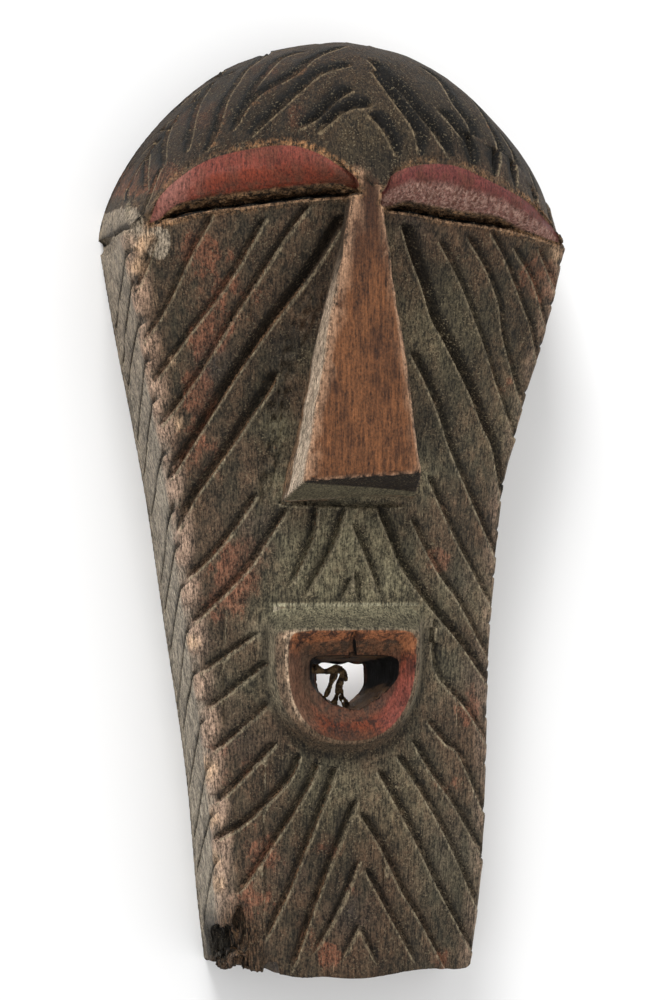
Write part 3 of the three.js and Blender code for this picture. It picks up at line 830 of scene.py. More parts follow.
def wear_ridges(spots):
    """Rounds the long edges between face and side walls, more on the left."""
    x, y, z = spots.T
    side = np.where(x < 0, -1, 1)
    wall = half_width(x, y) - WALL_LEAN * 0.8
    inside = wall - np.abs(x)
    below = cheek_height(x, y) - z
    step = (y / 8.6) % 1
    left = 2.0 + 1.5 * step * ramp(y, 46, 30) + 0.8 * wander(spots * (0, 1, 0), 3.1, 5)
    right = 1.2 + 0.5 * wander(spots * (0, 1, 0), 4.3, 6)
    radius = np.where(side < 0, left, right) * ramp(y, 50, 46) + 0.05
    far = np.hypot(radius - inside, radius - below)
    worn = (inside < radius) & (below < radius) & (far > radius) & (y < 50)
    pull = np.where(worn, radius / np.maximum(far, 1e-6), 1)
    new_inside = radius - (radius - inside) * pull
    new_below = radius - (radius - below) * pull
    spots[:, 0] = np.where(worn, side * (wall - new_inside), x)
    spots[:, 2] = np.where(worn, cheek_height(x, y) - new_below, z)

    # rounded corners where the chin meets the side walls
    x, y, _ = spots.T
    corner = np.where(x < 0, 1.6, 2.0)
    a = corner - (half_width(x, y) - np.abs(x))
    b = corner - (y - chin_line(x))
    far = np.hypot(a, b)
    pull = np.where((a > 0) & (b > 0) & (far > corner), corner / np.maximum(far, 1e-6), 1)
    spots[:, 0] -= np.sign(x) * a * (1 - pull)
    spots[:, 1] += b * (1 - pull)
    return spots


def region(spots):
    """Where each spot belongs, each region as a share from 0 to 1."""
    x, y, z = spots.T
    above_face = z - face_height(x, y)
    drop = np.clip((NOSE_TOP - y) / (NOSE_TOP - NOSE_TIP), 0, 1.2)
    left, right = (mix(top[1], tip[1], drop) for top, tip in (NOSE_LEFT, NOSE_RIGHT))
    half = np.where(x < 0, left, right)
    front = NOSE_FRONT - NOSE_DIP * drop
    nose = ramp(above_face, 0.9, 2.0) * ramp(np.abs(x), 15.5, 14.8) * ramp(y, 1.2, 1.8) * ramp(y, 61, 57)
    nose_front = ramp(front - z, 0.9, 0.4) * ramp(np.abs(x) - half, 0.3, -0.3) * nose
    nose_front *= ramp(y - NOSE_TIP_SLANT * x, 5.2, 5.6)
    lid = np.zeros(len(spots))
    lid_edge = np.full(len(spots), -BIG)
    lid_share = np.zeros(len(spots))
    lid_low = np.full(len(spots), -3.0)
    lid_open = np.zeros(len(spots))
    for eye in EYES:
        left, right = eye_ends(eye)
        low, high, _ = eye_lines(eye, x)
        beside = np.minimum(x - left, right - x)
        inside = np.minimum(np.minimum(y - low, high - y), beside)
        outside = -np.hypot(np.minimum(beside, 0), np.minimum(np.minimum(y - low, high - y), 0))
        inside = np.where(inside > 0, inside, outside)
        lid_edge = np.maximum(lid_edge, inside)
        within = beside > 0
        gape = eye_open(eye, x)
        rise = y - low - SLIT * gape
        lid = np.maximum(lid, within * ramp(rise, -0.4, 0.3) * ramp(high - y, 0.0, 0.35))
        edge = (SLIT + eye["crumbs"]) * mix(0.25, 1, gape)
        share = np.clip((y - low - edge) / np.maximum(high - low - edge, 0.5), -1, 1)
        lid_share = np.where(within, share, lid_share)
        lid_low = np.where(within, np.clip(y - low, -3, 3), lid_low)
        lid_open = np.where(within, gape, lid_open)
    return {"nose": nose, "nose_front": nose_front, "lid": lid, "lid_edge": lid_edge,
            "lid_share": lid_share, "lid_low": lid_low, "lid_open": lid_open}


def carve_detail(mesh, cuts):
    """Sinks the cuts, tool marks, wear and rot into the rough mask."""
    spots = grid_points(mesh)
    spots = wear_ridges(spots)
    move_points(mesh, spots)
    outward = normals_of(mesh)
    here = region(spots)
    x, y, z = spots.T
    inside_back = (outward[:, 2] < 0.1) & (z > 0.3) & inside_rim(x, y, 4)
    on_rim = z < 0.15
    lid = here["lid"] * (z > 20)
    nose = here["nose"] * (z > 20)
    mouth = ramp(in_oval(x, y, *MOUTH_OVAL), 1.0, 0.92)
    plain = (1 - lid) * (1 - nose) * (1 - mouth)
    front = plain * ~inside_back

    # knife facets and the slow waviness of hand carving
    sink = front * (0.16 + 0.16 * wander(spots / (1, 2.2, 1), 5.5, 1))
    sink += front * (0.05 + 0.05 * wander(spots / (1, 2.6, 1), 1.5, 2))
    sink += (nose + mouth + lid) * 0.06 * (1 + wander(spots / (1, 2.0, 1), 3.0, 3))

    sunk, tilt, _, _, _, slide = follow_cuts(spots, cuts, 0.55 * VOXEL)
    reach = front * (1 - on_rim) * mix(1, 0.5, ramp(x - half_width(x, y), -2.5, -0.8) * (y < 49))
    rough = 1 + 0.16 * wander(spots, 1.2, 4) + 0.1 * wander(spots, 0.5, 7)
    sink += reach * (1.5 * sunk * rough - 0.26 * tilt)

    # gouge marks in the hollow back
    wave = x / 4.6 + 0.5 * wander(spots * (1, 0.4, 1), 9, 8) + 0.25 * wander(spots, 3.2, 9)
    gouge = np.abs(2 * (wave % 1) - 1) ** 2
    sink += inside_back * (0.34 * gouge - 0.4 + 0.14 * wander(spots * (1, 0.35, 1), 2.0, 10))

    # rotted, fibrous wood over the lower left corner
    rot = ramp(in_oval(x, y, *ROT_FIBRES), 1.15, 0.55) * (z > 6)
    fibres = wander(spots * (2.4, 0.22, 2.4), 1.0, 11)
    sink += rot * (0.55 + 0.75 * fibres) * ~on_rim

    # raw crumbling edge above the lids and along their lower edge
    above = ramp(y - eye_line(x), 2.5, 4.5)
    crumb = ramp(np.abs(here["lid_edge"] + 0.5), 1.3, 0.2) * (z > 20) * ramp(np.abs(x), 38, 30)
    crumbs = 0.1 + 0.35 * np.maximum(0, wander(spots, 0.8, 12)) + 0.15 * wander(spots, 2.2, 13)
    sink += crumb * above * crumbs
    lower_edge = (here["lid_edge"] > 0.3) * ramp(here["lid_share"], 0.12, 0.0) * (z > 20)
    sink += lower_edge * (0.15 + 0.45 * wander(spots, 0.9, 18))

    # tool marks on the lower half of the right lid
    lower_half = ramp(here["lid_share"], 0.6, 0.45) * ramp(here["lid_share"], 0.02, 0.1) * (x > 4)
    sink += lid * lower_half * 0.1 * (1 + np.sin(x * 2 * math.pi / 1.3 + 1.6 * wander(spots, 3, 14)))

    # worn and chipped edges of the nose
    for edge, reach_mm, depth, seed in NOSE_CHIPS:
        far = np.abs(near_path(spots, nose_line(edge), FACE_OUT)[0])
        chips = 0.6 + 0.6 * wander(spots, 1.3, seed) + 0.4 * wander(spots, 0.5, seed)
        sink += ramp(far, reach_mm, 0) * depth * np.maximum(0, chips)

    # rough, splintered strip along the left foot of the nose
    beside = np.abs(near_path(spots, on_face(NOSE_FOOT_LINE), FACE_OUT)[0])
    strip = ramp(beside, 2.6, 0.8) * front * (x < 0)
    splinters = wander(spots / (1, 1.8, 1), 0.65, 19) + 0.5 * wander(spots, 1.6, 20)
    sink += strip * 0.9 * np.maximum(-0.2, splinters)

    # a notch in the middle of the upper lip
    cleft = ramp(np.abs(x + 0.25 + 0.3 * np.sin(y)), 0.85, 0.1)
    cleft *= ramp(y, -27.6, -26.0)
    cleft *= ramp(y, -21.6, -22.6)
    sink += mouth * cleft * 0.8 * (z > 24)

    sink = np.where(on_rim, 0, sink)
    moved = spots - outward * sink[:, None] + slide * (reach * (sunk > 0.02))[:, None]
    moved[:, 2] = np.where(on_rim, 0, np.maximum(moved[:, 2], 0.02))
    move_points(mesh, moved)


def thinned(mesh, most):
    """Fewer triangles where the surface is plain."""
    item = new_object("thinned", mesh)
    fewer = item.modifiers.new("fewer", "DECIMATE")
    fewer.ratio = min(1.0, most / (2 * len(mesh.polygons)))
    result = finished_mesh(item)
    bpy.data.objects.remove(item)
    return result


def seat(mesh):
    """To its place in the frame, not a hair outside the measured box."""
    low, high = (np.array(corner) for corner in cad_box)
    move_points(mesh, np.clip((grid_points(mesh) + SEAT) * MM, low, high))


# The marks that the finish follows.

# Places on the plan: x, y, reach and how strongly the mark shows there.
REDDISH = (
    (-25, 71.7, 2.4, 0.9), (-28.2, 70, 2.2, 0.8), (-34.5, 60, 3, 0.9), (-15.8, 79.1, 2, 0.9),
    (-12.6, 70, 2.4, 0.9), (-27, 19.5, 2.6, 1.0), (-28.6, 23, 2.6, 0.8), (-26.4, 30.4, 4, 0.7),
    (-24, 40, 9, 0.45), (-29, 10, 7, 0.6), (-20, -12, 5, 0.5), (-24, -17, 6, 0.5), (-22, -45, 8, 0.45),
    (-16, -62, 7, 0.5), (-3.7, -61, 4, 0.5), (-8.9, -76, 5, 0.4), (0.8, -68.8, 2, 0.6),
    (35, 42, 5, 0.9), (16.5, -9.5, 3, 0.8), (23, -36, 6, 0.5), (-3.5, -80.5, 2.6, 0.8),
    (17.8, -82, 3, 0.6), (-19, -7, 5, 0.5), (18.5, -50, 5, 0.4), (-29.5, 47, 4, 0.5),
    (-14, 3.5, 4, 0.4), (19, 2, 4, 0.35), (-38.5, 59, 3, 0.7), (27.5, 0, 4, 0.4), (30, 22, 5, 0.4),
    (-18, -72, 4, 0.5),
)
BLUISH = (
    (-25.2, 26.2, 3.2, 1.0), (-28.5, -23, 4, 0.6), (-17, -3.7, 5, 0.5), (21, -13, 3, 0.6),
    (-12.8, 28.5, 3, 0.6), (20.5, -62, 6, 0.5), (0.1, -73, 4, 0.8), (32, 60, 7, 0.6), (20, 70, 8, 0.4),
    (5, 76, 8, 0.4), (-19.5, -42, 4, 0.5), (-23, -33, 4, 0.4), (9, 52, 4, 0.7), (27, -75, 5, 0.5),
    (-10, -66, 3, 0.5), (-20, 74, 4, 0.5), (-29, 64, 4, 0.4), (24, -30, 5, 0.5),
)
DUSTY = (
    (14.9, 32, 9, 0.55), (28, 16, 9, 0.4), (-1, -6, 11, 0.9), (-0.6, -19.5, 9, 0.9),
    (9.4, -52, 8, 0.55), (0, 67, 9, 0.25), (25, -16, 7, 0.4), (-14.6, 14, 3.4, 0.8), (-13, 4, 3, 0.7),
    (-16, -20, 4, 0.5), (14, -18, 5, 0.6), (-4, -50, 7, 0.4), (-8, -10, 5, 0.6), (7, -11, 5, 0.6),
    (12.6, 6, 4, 0.6), (-9, 27, 3, 0.4), (3, 47, 3, 0.4), (18, -30, 5, 0.4), (20, -66, 9, 0.3),
    (-20, -32, 6, 0.25),
)
# Soot beside the nose; the row of small spots just under the foot of the nose is painted shadow.
SOOT_AND_SHADE = (
    (-12.6, 29, 4.5, 0.9), (-10.5, 41, 3, 0.9), (-16.4, 13, 3.5, 0.8), (-8, 46, 3, 0.6),
    (11, 44, 3, 0.6), (-14, 20, 3, 0.8), (17, 38, 4, 0.4), (20, 26, 5, 0.4), (-21.5, 68.5, 4, 0.6),
    (24, 34, 5, 0.4), (13.5, 15, 4, 0.5), (-14.2, -2.2, 1.6, 1.0), (-7, -1.2, 1.4, 1.0),
    (-1.9, -0.6, 1.2, 0.9), (3.6, -1.2, 1.4, 1.0), (10.3, -2.4, 1.4, 0.9), (-3.4, -15, 1, 0.9),
    (-0.5, -12.4, 1, 1.0), (3, 60, 4, 0.8), (-19, -82, 5, 0.6), (-12.5, -44, 3, 0.5),
    (19.5, -73, 5, 0.4), (0, 62, 5, 0.6), (-20, 46, 6, 0.35),
)
RAW = (
    (-38.2, 47.5, 1.5, 1.0), (-38.6, 43.6, 1.5, 1.0), (-36.8, 48.6, 1.1, 0.8), (-35.2, 37.6, 1.3, 0.6),
    (-32.4, 26.8, 1.2, 0.7), (-31.3, 15.5, 1.3, 0.8), (-27.8, -24, 1.6, 0.8), (-25.3, -47, 2.4, 1.0),
    (-24.3, -56, 2.0, 0.8), (-23.6, -63.5, 1.8, 0.8), (-23.3, -68.0, 1.9, 0.9), (2.9, 56.2, 1.6, 1.0),
    (-16.8, -68, 2.6, 0.3), (-3.2, -82.6, 1.2, 0.3), (-29.8, 0, 1.3, 0.5), (38.5, 46.5, 1.8, 0.7),
    (-37.2, 51.0, 1.2, 0.5),
)
BLEACHED = (
    (-40.4, 52.5, 2.4, 1.0), (-40.8, 48.6, 2.2, 0.9), (-40.4, 44.5, 2.0, 0.7), (-35.8, 48.6, 2.5, 1.0),
    (-35.2, 46.2, 1.5, 0.7), (27, 50, 3, 0.45), (-14.0, -17.7, 0.9, 1.0), (-24, -22, 2.5, 0.4),
)

# Places where the wood round the lids has crumbled.
CRUMBLED = (
    (-20, 65, 5, 0.5), (-12, 65, 4, 1.0), (-7, 62.5, 3, 1.0), (-3, 58.5, 3, 1.0), (-33, 59, 3, 0.4),
    (3, 55, 2, 1.0), (9, 62, 4, 0.5), (20, 61, 4, 0.4), (32, 56, 4, 0.5), (-20, 53, 9, 0.6),
    (-34, 51, 4, 0.8), (30, 50, 8, 0.6), (14, 52, 6, 0.4),
)
# Pale wear on the nose: edge, reach and strength.
NOSE_WEAR = (
    ((TOP_LEFT, TIP_LEFT), 1.5, 0.85),
    ((TOP_RIGHT, TIP_RIGHT), 0.7, 1.0),
    ((TIP_LEFT, TIP_RIGHT), 0.8, 0.8),
)


def patches(x, y, places):
    """Sum of soft round marks on the plan."""
    total = np.zeros(len(x))
    for px, py, reach, strength in places:
        total += strength * np.exp(-((x - px) ** 2 + (y - py) ** 2) / reach**2)
    return np.clip(total, 0, 1)


def mark_up(mesh, cuts):
    """Stores on the mesh what its finish needs to know about each place."""
    spots = grid_points(mesh)
    outward = normals_of(mesh)
    x, y, z = spots.T
    here = region(spots)
    _, tilt, upper, lower_wall, lip, _ = follow_cuts(spots, cuts)
    back = (outward[:, 2] < 0.15) & inside_rim(x, y, 3.5) & (z < 36)
    front = (~back).astype(float)
    nose = here["nose"] * (z > 30)
    in_hole = in_oval(x, y, *HOLE_OVAL) < 1
    at_mouth = (z > 8) * np.maximum(front, in_hole)
    lips = np.where(at_mouth > 0, np.clip(outline_inside(x, y, *LIP_FUNNEL), -3, 3), -3)
    lip_block = np.where(at_mouth > 0, np.clip(outline_inside(x, y, *LIP_BLOCK), -3, 3), -3)
    fibre = np.full(len(x), BIG)
    for thick, *points in SHREDS:
        far = np.abs(near_path(spots, smooth_path(points, 0.4), FACE_OUT)[0])
        fibre = np.minimum(fibre, np.where(far < 8, far - thick, BIG))
    near_hole = ramp(in_oval(x, y, HOLE_OVAL[0], (1, 1)), 11.5, 10.5)
    hole = ramp(outward[:, 2], 0.5, 0.3) * near_hole * (lips > 0.4)
    in_block = ramp(lip_block, -2.5, -0.5)
    ledge = ramp(outward[:, 1], 0.15, 0.4) * (np.abs(x + 1) < 15.5) * (np.abs(y + 19) < 2.8) * (z > 22)
    nose_under = here["nose"] * (z > 31) * ramp(outward[:, 1], -0.3, -0.6) * (y < 9)
    nose_edge = np.zeros(len(x))
    for edge, reach, strength in NOSE_WEAR:
        far = np.abs(near_path(spots, nose_line(edge), FACE_OUT)[0])
        nose_edge = np.maximum(nose_edge, strength * ramp(far, reach, 0.3 * reach) * (z > 30))
    wall = half_width(x, y) - WALL_LEAN * 0.8
    ridge = ramp(np.hypot(wall - np.abs(x), cheek_height(x, y) - z), 4.2, 1.4) * ramp(y, 51, 47)
    side_wall = ramp(np.abs(outward[:, 0]), 0.7, 0.9) * ramp(wall - np.abs(x), 2.5, 1.0) * ramp(y, 52, 46)
    rot = ramp(in_oval(x, y, *ROT_STAIN), 1.15, 0.6) * (z > 3)
    fronts = front * (1 - nose) * (1 - in_block)
    uncut = 3 * (1 - front) + 3 * nose + 3 * here["lid"] * (z > 20)
    marks = {
        "cut_upper": np.minimum(upper, 3) + uncut,
        "cut_wall": np.minimum(lower_wall, 3) + uncut,
        "cut_lip": np.minimum(lip, 3) + uncut,
        "raised": np.clip(tilt, -1, 1),
        "bleached": patches(x, y, BLEACHED) * fronts,
        "reddish": patches(x, y, REDDISH) * fronts,
        "bluish": patches(x, y, BLUISH) * fronts,
        "dusty": np.clip(patches(x, y, DUSTY) * fronts, 0, 1),
        "sooty_and_shaded": patches(x, y, SOOT_AND_SHADE) * fronts,
        "raw": np.clip(patches(x, y, RAW) * front * ramp(cheek_height(x, y) - z, 4.0, 2.4), 0, 1),
        "lid": np.clip(here["lid_edge"], -3, 3) * (z > 20) - 3 * (z <= 20),
        "lid_share": here["lid_share"],
        "lid_low": np.where(z > 20, here["lid_low"], -3),
        "lid_open": here["lid_open"],
        "lips": lips,
        "lip_block": lip_block,
        "lip_foot": np.where(z > 20, np.clip(outline_inside(x, y, *LIP_FOOT), -3, 3), -3),
        "ledge": ledge,
        "hole": hole,
        "fibre": ramp(fibre, 0.6, 0.2),
        "nose_front": here["nose_front"] * ramp(outward[:, 2], 0.6, 0.85),
        "nose_side": nose * (1 - here["nose_front"]),
        "nose_under": nose_under,
        "nose_edge": nose_edge,
        "crumbled": patches(x, y, CRUMBLED) * (z > 20),
        "ridge": ridge * np.where(x < 0, 1.0, 0.35),
        "side_wall": side_wall,
        "rot": rot,
        "back": back.astype(float),
    }
    for name, level in marks.items():
        layer = mesh.attributes.new(name, "FLOAT", "POINT")
        layer.data.foreach_set("value", np.ascontiguousarray(level, dtype=np.float32))


# The finish.

# The studio light brings the floor to white, so finishes are mixed darker
# than they look.
LIGHT_LEVEL = 1.5
GLOSS = 0.22
# Depth of the finest relief, in millimetres.
RELIEF_DEPTH = 0.22


def tone(red, green, blue):
    """A colour as it should look in the studio, made linear."""
    seen = np.array([red, green, blue]) / 255
    linear = np.where(seen > 0.04045, ((seen + 0.055) / 1.055) ** 2.4, seen / 12.92)
    return tuple(linear / LIGHT_LEVEL) + (1.0,)


# Red, green and blue: the wood's plain gain, how far the lower face is paler,
# the forehead darker and the lids lighter.
CHANNEL_GAINS = ((1.0, 0.15, 0.14, 0.14), (0.97, 0.20, 0.20, 0.2), (0.89, 0.23, 0.25, 0.18))


class Finish:
    """A material mixed step by step from noises, marks and colours."""

    def __init__(self, name):
        self.material = bpy.data.materials.new(name)
        self.material.use_nodes = True
        self.tree = self.material.node_tree
        self.shader = self.tree.nodes["Principled BSDF"]
        place = self.tree.nodes.new("ShaderNodeTexCoord").outputs["Object"]
        self.place = self.step("ShaderNodeVectorMath", {0: place, "Scale": 1 / MM}, operation="SCALE")

    def step(self, kind, inputs, output=0, **settings):
        node = self.tree.nodes.new(kind)
        for key, value in settings.items():
            setattr(node, key, value)
        for key, value in inputs.items():
            socket = node.inputs[key]
            if isinstance(value, bpy.types.NodeSocket):
                self.tree.links.new(value, socket)
            else:
                socket.default_value = value
        return node.outputs[output]

    def mark(self, name):
        return self.step("ShaderNodeAttribute", {}, "Fac", attribute_name=name)

    def math(self, operation, a, b=0.0, clamp=False):
        return self.step("ShaderNodeMath", {0: a, 1: b}, operation=operation, use_clamp=clamp)

    def stretch(self, x, y, z):
        return self.step("ShaderNodeVectorMath", {0: self.place, 1: (x, y, z)}, operation="MULTIPLY")

    def noise(self, cell, detail=3.0, grain=(1, 1, 1), rough=0.5, twist=0.0):
        """Noise from 0 to 1 with lumps about one cell (mm) wide."""
        place = self.stretch(*grain)
        inputs = {"Vector": place, "Scale": 1 / cell, "Detail": detail}
        inputs |= {"Roughness": rough, "Distortion": twist}
        return self.step("ShaderNodeTexNoise", inputs)

    def band(self, value, low, high, bottom=0.0, top=1.0):
        """bottom below low, top above high, smooth between."""
        inputs = {"Value": value, "From Min": low, "From Max": high, "To Min": bottom, "To Max": top}
        return self.step("ShaderNodeMapRange", inputs, interpolation_type="SMOOTHSTEP")

    def blend(self, share, first, second, kind="MIX"):
        inputs = {0: share, 6: first, 7: second}
        return self.step("ShaderNodeMix", inputs, 2, data_type="RGBA", blend_type=kind, clamp_factor=True)

    def swing(self, value, amount):
        """A noise as a swing about nought."""
        return self.math("MULTIPLY", self.math("SUBTRACT", value, 0.5), amount)

    def times(self, *values):
        total = values[0]
        for value in values[1:]:
            total = self.math("MULTIPLY", total, value)
        return total

    def plus(self, *values):
        total = values[0]
        for value in values[1:]:
            total = self.math("ADD", total, value)
        return total

    def join(self, colour, roughness, relief):
        """Joins the mixed colour, roughness and relief to the shader."""
        bump = {"Strength": 1.0, "Distance": RELIEF_DEPTH * MM, "Height": relief}
        bump = self.step("ShaderNodeBump", bump)
        for key, value in (("Base Color", colour), ("Roughness", roughness), ("Normal", bump)):
            self.tree.links.new(value, self.shader.inputs[key])
        return self.material


def ground(f):
    """Brown stain, redder or cooler by patches, pale where it is worn, with painted light on the left side
    walls and on the raised faces of the ridge, and painted shadow just under the foot of the nose.
    """
    reddish, bluish, dusty, sooty_and_shaded = (f.mark(n) for n in ("reddish", "bluish", "dusty", "sooty_and_shaded"))
    red_patch = f.band(f.plus(reddish, f.swing(f.mottle, 0.8)), 0.3, 0.55)
    warmth = f.plus(f.swing(f.blotch, 1.2), f.times(red_patch, 0.45), f.swing(f.mottle, 0.9))
    warmth = f.math("SUBTRACT", warmth, f.times(dusty, 0.25))
    colour = f.blend(f.band(warmth, -0.3, 0.2), tone(66, 60, 48), tone(92, 72, 57))
    colour = f.blend(f.band(warmth, 0.2, 0.5), colour, tone(120, 80, 62))
    cool = f.times(bluish, f.band(f.mottle, 0.35, 0.55))
    colour = f.blend(f.times(cool, 0.85), colour, tone(58, 57, 57))
    dark_stain = f.band(f.noise(4.5, 5, (1, 0.5, 1), 0.7, 0.8), 0.52, 0.60)
    colour = f.blend(f.times(dark_stain, 0.5), colour, tone(46, 38, 30))

    # grey side walls, painted paler on the left as if lit from the left; pale worn long edges between the
    # cuts, with painted highlight on the faces raised beside the cuts; bare wood
    grey_walls_lit_left = f.times(f.mark("side_wall"), f.band(f.mottle, 0.3, 0.6, 0.45, 0.9))
    grey_walls_lit_left = f.times(grey_walls_lit_left, f.band(f.x, 5, -5, 0.6, 1.0))
    colour = f.blend(grey_walls_lit_left, colour, tone(172, 159, 144))
    bleached = f.band(f.plus(f.mark("bleached"), f.swing(f.mottle, 0.9)), 0.4, 0.55)
    colour = f.blend(f.times(bleached, 0.85), colour, tone(166, 153, 138))
    # worn pale ridge, painted lighter as a highlight where the wood is raised beside a cut
    rubbed_and_lit = f.times(f.mark("ridge"), f.band(f.plus(f.mottle, f.times(f.grain, 0.6)), 0.45, 0.85))
    rubbed_and_lit = f.times(rubbed_and_lit, f.band(f.mark("raised"), -0.3, 0.3, 0.35, 1.0))
    colour = f.blend(f.times(rubbed_and_lit, 0.9), colour, tone(184, 153, 134))
    raw = f.mark("raw")
    bare = f.times(raw, f.band(f.plus(raw, f.times(f.grain, 0.9)), 0.55, 1.1))
    colour = f.blend(bare, colour, f.blend(f.fibre, tone(204, 158, 122), tone(236, 204, 174)))

    # the forehead is darker
    colour = f.blend(f.band(f.y, 54, 64, 0, 0.68), colour, tone(42, 33, 25))

    # dust lying in the hollows; soot beside the nose, with painted shadow in a row just under the foot of
    # the nose
    dust = f.times(dusty, f.band(f.dirt, 0.3, 0.65, 0.3, 1.0))
    colour = f.blend(f.times(dust, 0.75), colour, tone(146, 136, 110))
    soot_and_shade = f.times(sooty_and_shaded, f.band(f.mottle, 0.3, 0.6, 0.4, 1.0))
    return f.blend(f.times(soot_and_shade, 0.85), colour, tone(36, 31, 24)), dusty


def dirty_shaded_cuts(f, colour):
    """Black dirt in a cut, spread over its upper wall and past its edge as painted shade, a softer painted
    shade beside it on the upper side, and a pale line of dust and painted highlight along its lower lip.
    """
    upper = f.plus(f.mark("cut_upper"), f.ragged, f.band(f.y, 54, 62, 0, -0.6))
    walls = f.band(f.mark("cut_wall"), 0.35, 0.15)
    # painted shade beside the cut on its upper side
    shade_beside_cut = f.band(upper, 2.8, 0.8)
    # dirt in the cut, spreading up over its upper wall and past its edge as painted shade
    black = f.math("MAXIMUM", f.band(upper, 1.5, 0.5), walls)
    # a pale line of dust and painted highlight along the lower lip of the cut
    dust_and_highlight_line = f.band(f.plus(f.mark("cut_lip"), f.ragged, f.swing(f.mottle, 0.8)), 1.0, 0.35)
    colour = f.blend(f.times(shade_beside_cut, 0.5), colour, tone(44, 37, 28))
    colour = f.blend(f.times(dust_and_highlight_line, f.band(f.dirt, 0.35, 0.6, 0.2, 0.75)), colour, tone(146, 133, 111))
    return f.blend(f.times(black, f.band(f.dirt, 0.3, 0.45, 0.85, 1.0)), colour, tone(15, 12, 8))


def nose_stain(f, colour):
    """Polished orange brown front, darker at its root, greyer flanks with the left one painted light and
    the right one painted shade, pale edges, and painted shade under the overhang.
    """
    front, side = f.mark("nose_front"), f.mark("nose_side")
    waxed = f.band(f.plus(f.swing(f.blotch, 1.6), f.swing(f.mottle, 0.7), f.swing(f.grain, 0.9)), -0.4, 0.3)
    polished = f.blend(waxed, tone(76, 46, 29), tone(130, 83, 52))
    polished = f.blend(f.band(f.y, 34, 58), polished, tone(76, 47, 32))
    colour = f.blend(f.times(front, 0.95), colour, polished)
    # greyer flanks, the left painted pale as if lit from the left and the right painted darker as its
    # shaded side
    lit_and_shaded_flank = f.blend(f.band(f.mottle, 0.3, 0.7), tone(178, 161, 143), tone(216, 192, 172))
    lit_and_shaded_flank = f.blend(f.band(f.y, 34, 48), lit_and_shaded_flank, tone(66, 53, 42))
    lit_and_shaded_flank = f.blend(f.band(f.x, 1, 3), lit_and_shaded_flank, tone(92, 76, 60))
    colour = f.blend(f.times(side, 0.92), colour, lit_and_shaded_flank)
    edge = f.times(f.mark("nose_edge"), f.band(f.plus(f.mottle, f.times(f.dirt, 0.5)), 0.5, 0.8))
    colour = f.blend(edge, colour, tone(182, 144, 118))
    # the nose's underside: dusty grey low down, painted lighter as if lit, and painted shade high up under
    # the overhang
    lit = f.plus(f.z, f.times(f.x, 0.38), f.ragged)
    underside_dust_and_shade = f.blend(f.band(lit, 38.9, 39.5), tone(94, 86, 68), tone(34, 24, 15))
    return f.blend(f.mark("nose_under"), colour, underside_dust_and_shade), front


def painted_lids(f, colour):
    """Red paint on the lids with a painted highlight at the outer left end, bare crumbling wood around and
    below it, painted shade in the open slit and a pale raw edge with painted highlight along the cheek.
    """
    lid, share, gape = f.mark("lid"), f.mark("lid_share"), f.mark("lid_open")
    right = f.band(f.x, -0.5, 0.5)
    on_lid = f.times(f.band(f.plus(lid, f.ragged), 0.2, 0.45), f.band(f.plus(share, f.ragged), -0.04, 0.06))
    upper = f.blend(right, tone(132, 64, 54), tone(114, 56, 54))
    lower = f.blend(right, tone(130, 56, 38), tone(146, 98, 90))
    paint = f.blend(f.band(f.plus(share, f.swing(f.mottle, 0.7)), 0.4, 0.65), lower, upper)
    scuffed = f.band(f.plus(f.mottle, f.times(f.fibre, 0.3)), 0.62, 0.75)
    left = f.band(f.x, 1, 0)
    worn_end = f.times(f.band(f.x, -14, -5), left, f.band(share, 0.95, 0.6), f.band(f.mottle, 0.34, 0.5))
    low_wear = f.times(f.band(share, 0.45, 0.15), left, f.band(f.mottle, 0.42, 0.58))
    worn = f.math("MAXIMUM", f.times(scuffed, 0.6), f.math("MAXIMUM", worn_end, low_wear))
    paint = f.blend(f.times(worn, 0.8), paint, tone(88, 54, 40))
    # painted highlight: paler pink paint at the outer end of the left lid
    left_end_highlight = f.times(f.band(f.x, -27, -34), f.band(f.mottle, 0.3, 0.5, 0.4, 0.9))
    paint = f.blend(left_end_highlight, paint, tone(156, 100, 92))
    chalky = f.times(right, f.band(share, 0.6, 0.4), f.band(f.grain, 0.42, 0.62))
    paint = f.blend(f.times(chalky, 0.6), paint, tone(186, 152, 142))
    colour = f.blend(on_lid, colour, paint)
    outline = f.times(f.band(lid, -1.5, -0.3), f.band(lid, 0.5, 0.1), f.band(f.dirt, 0.4, 0.6))
    colour = f.blend(f.times(outline, f.mark("crumbled")), colour, tone(170, 128, 92))

    # crumbs over the slit, and painted shade, nearly black, where it stands open
    low = f.plus(f.mark("lid_low"), f.swing(f.dirt, 0.25))
    slit = f.times(f.band(lid, -0.1, 0.1), f.band(share, 0.08, -0.04))
    crumbs = f.blend(f.band(f.dirt, 0.4, 0.6), tone(38, 26, 17), tone(90, 68, 48))
    crumbs = f.blend(f.times(f.mark("crumbled"), f.band(f.dirt, 0.4, 0.55)), crumbs, tone(188, 146, 108))
    colour = f.blend(f.times(slit, 0.95), colour, crumbs)
    # painted shade in the open slit
    dark = f.times(slit, f.band(f.plus(low, f.swing(f.mottle, 0.8)), 0.95, 0.7), gape)
    colour = f.blend(dark, colour, tone(8, 6, 4))
    # pale raw edge of the cheek under the slit, lightened as a painted highlight
    cheek_edge_raw_and_lit = f.times(f.band(low, -0.5, -0.3), f.band(low, 0.1, -0.02), f.band(f.mottle, 0.35, 0.45))
    cheek_edge_raw_and_lit = f.times(cheek_edge_raw_and_lit, f.band(lid, -1.0, -0.7))
    return f.blend(f.times(cheek_edge_raw_and_lit, 0.85), colour, tone(172, 138, 110)), on_lid


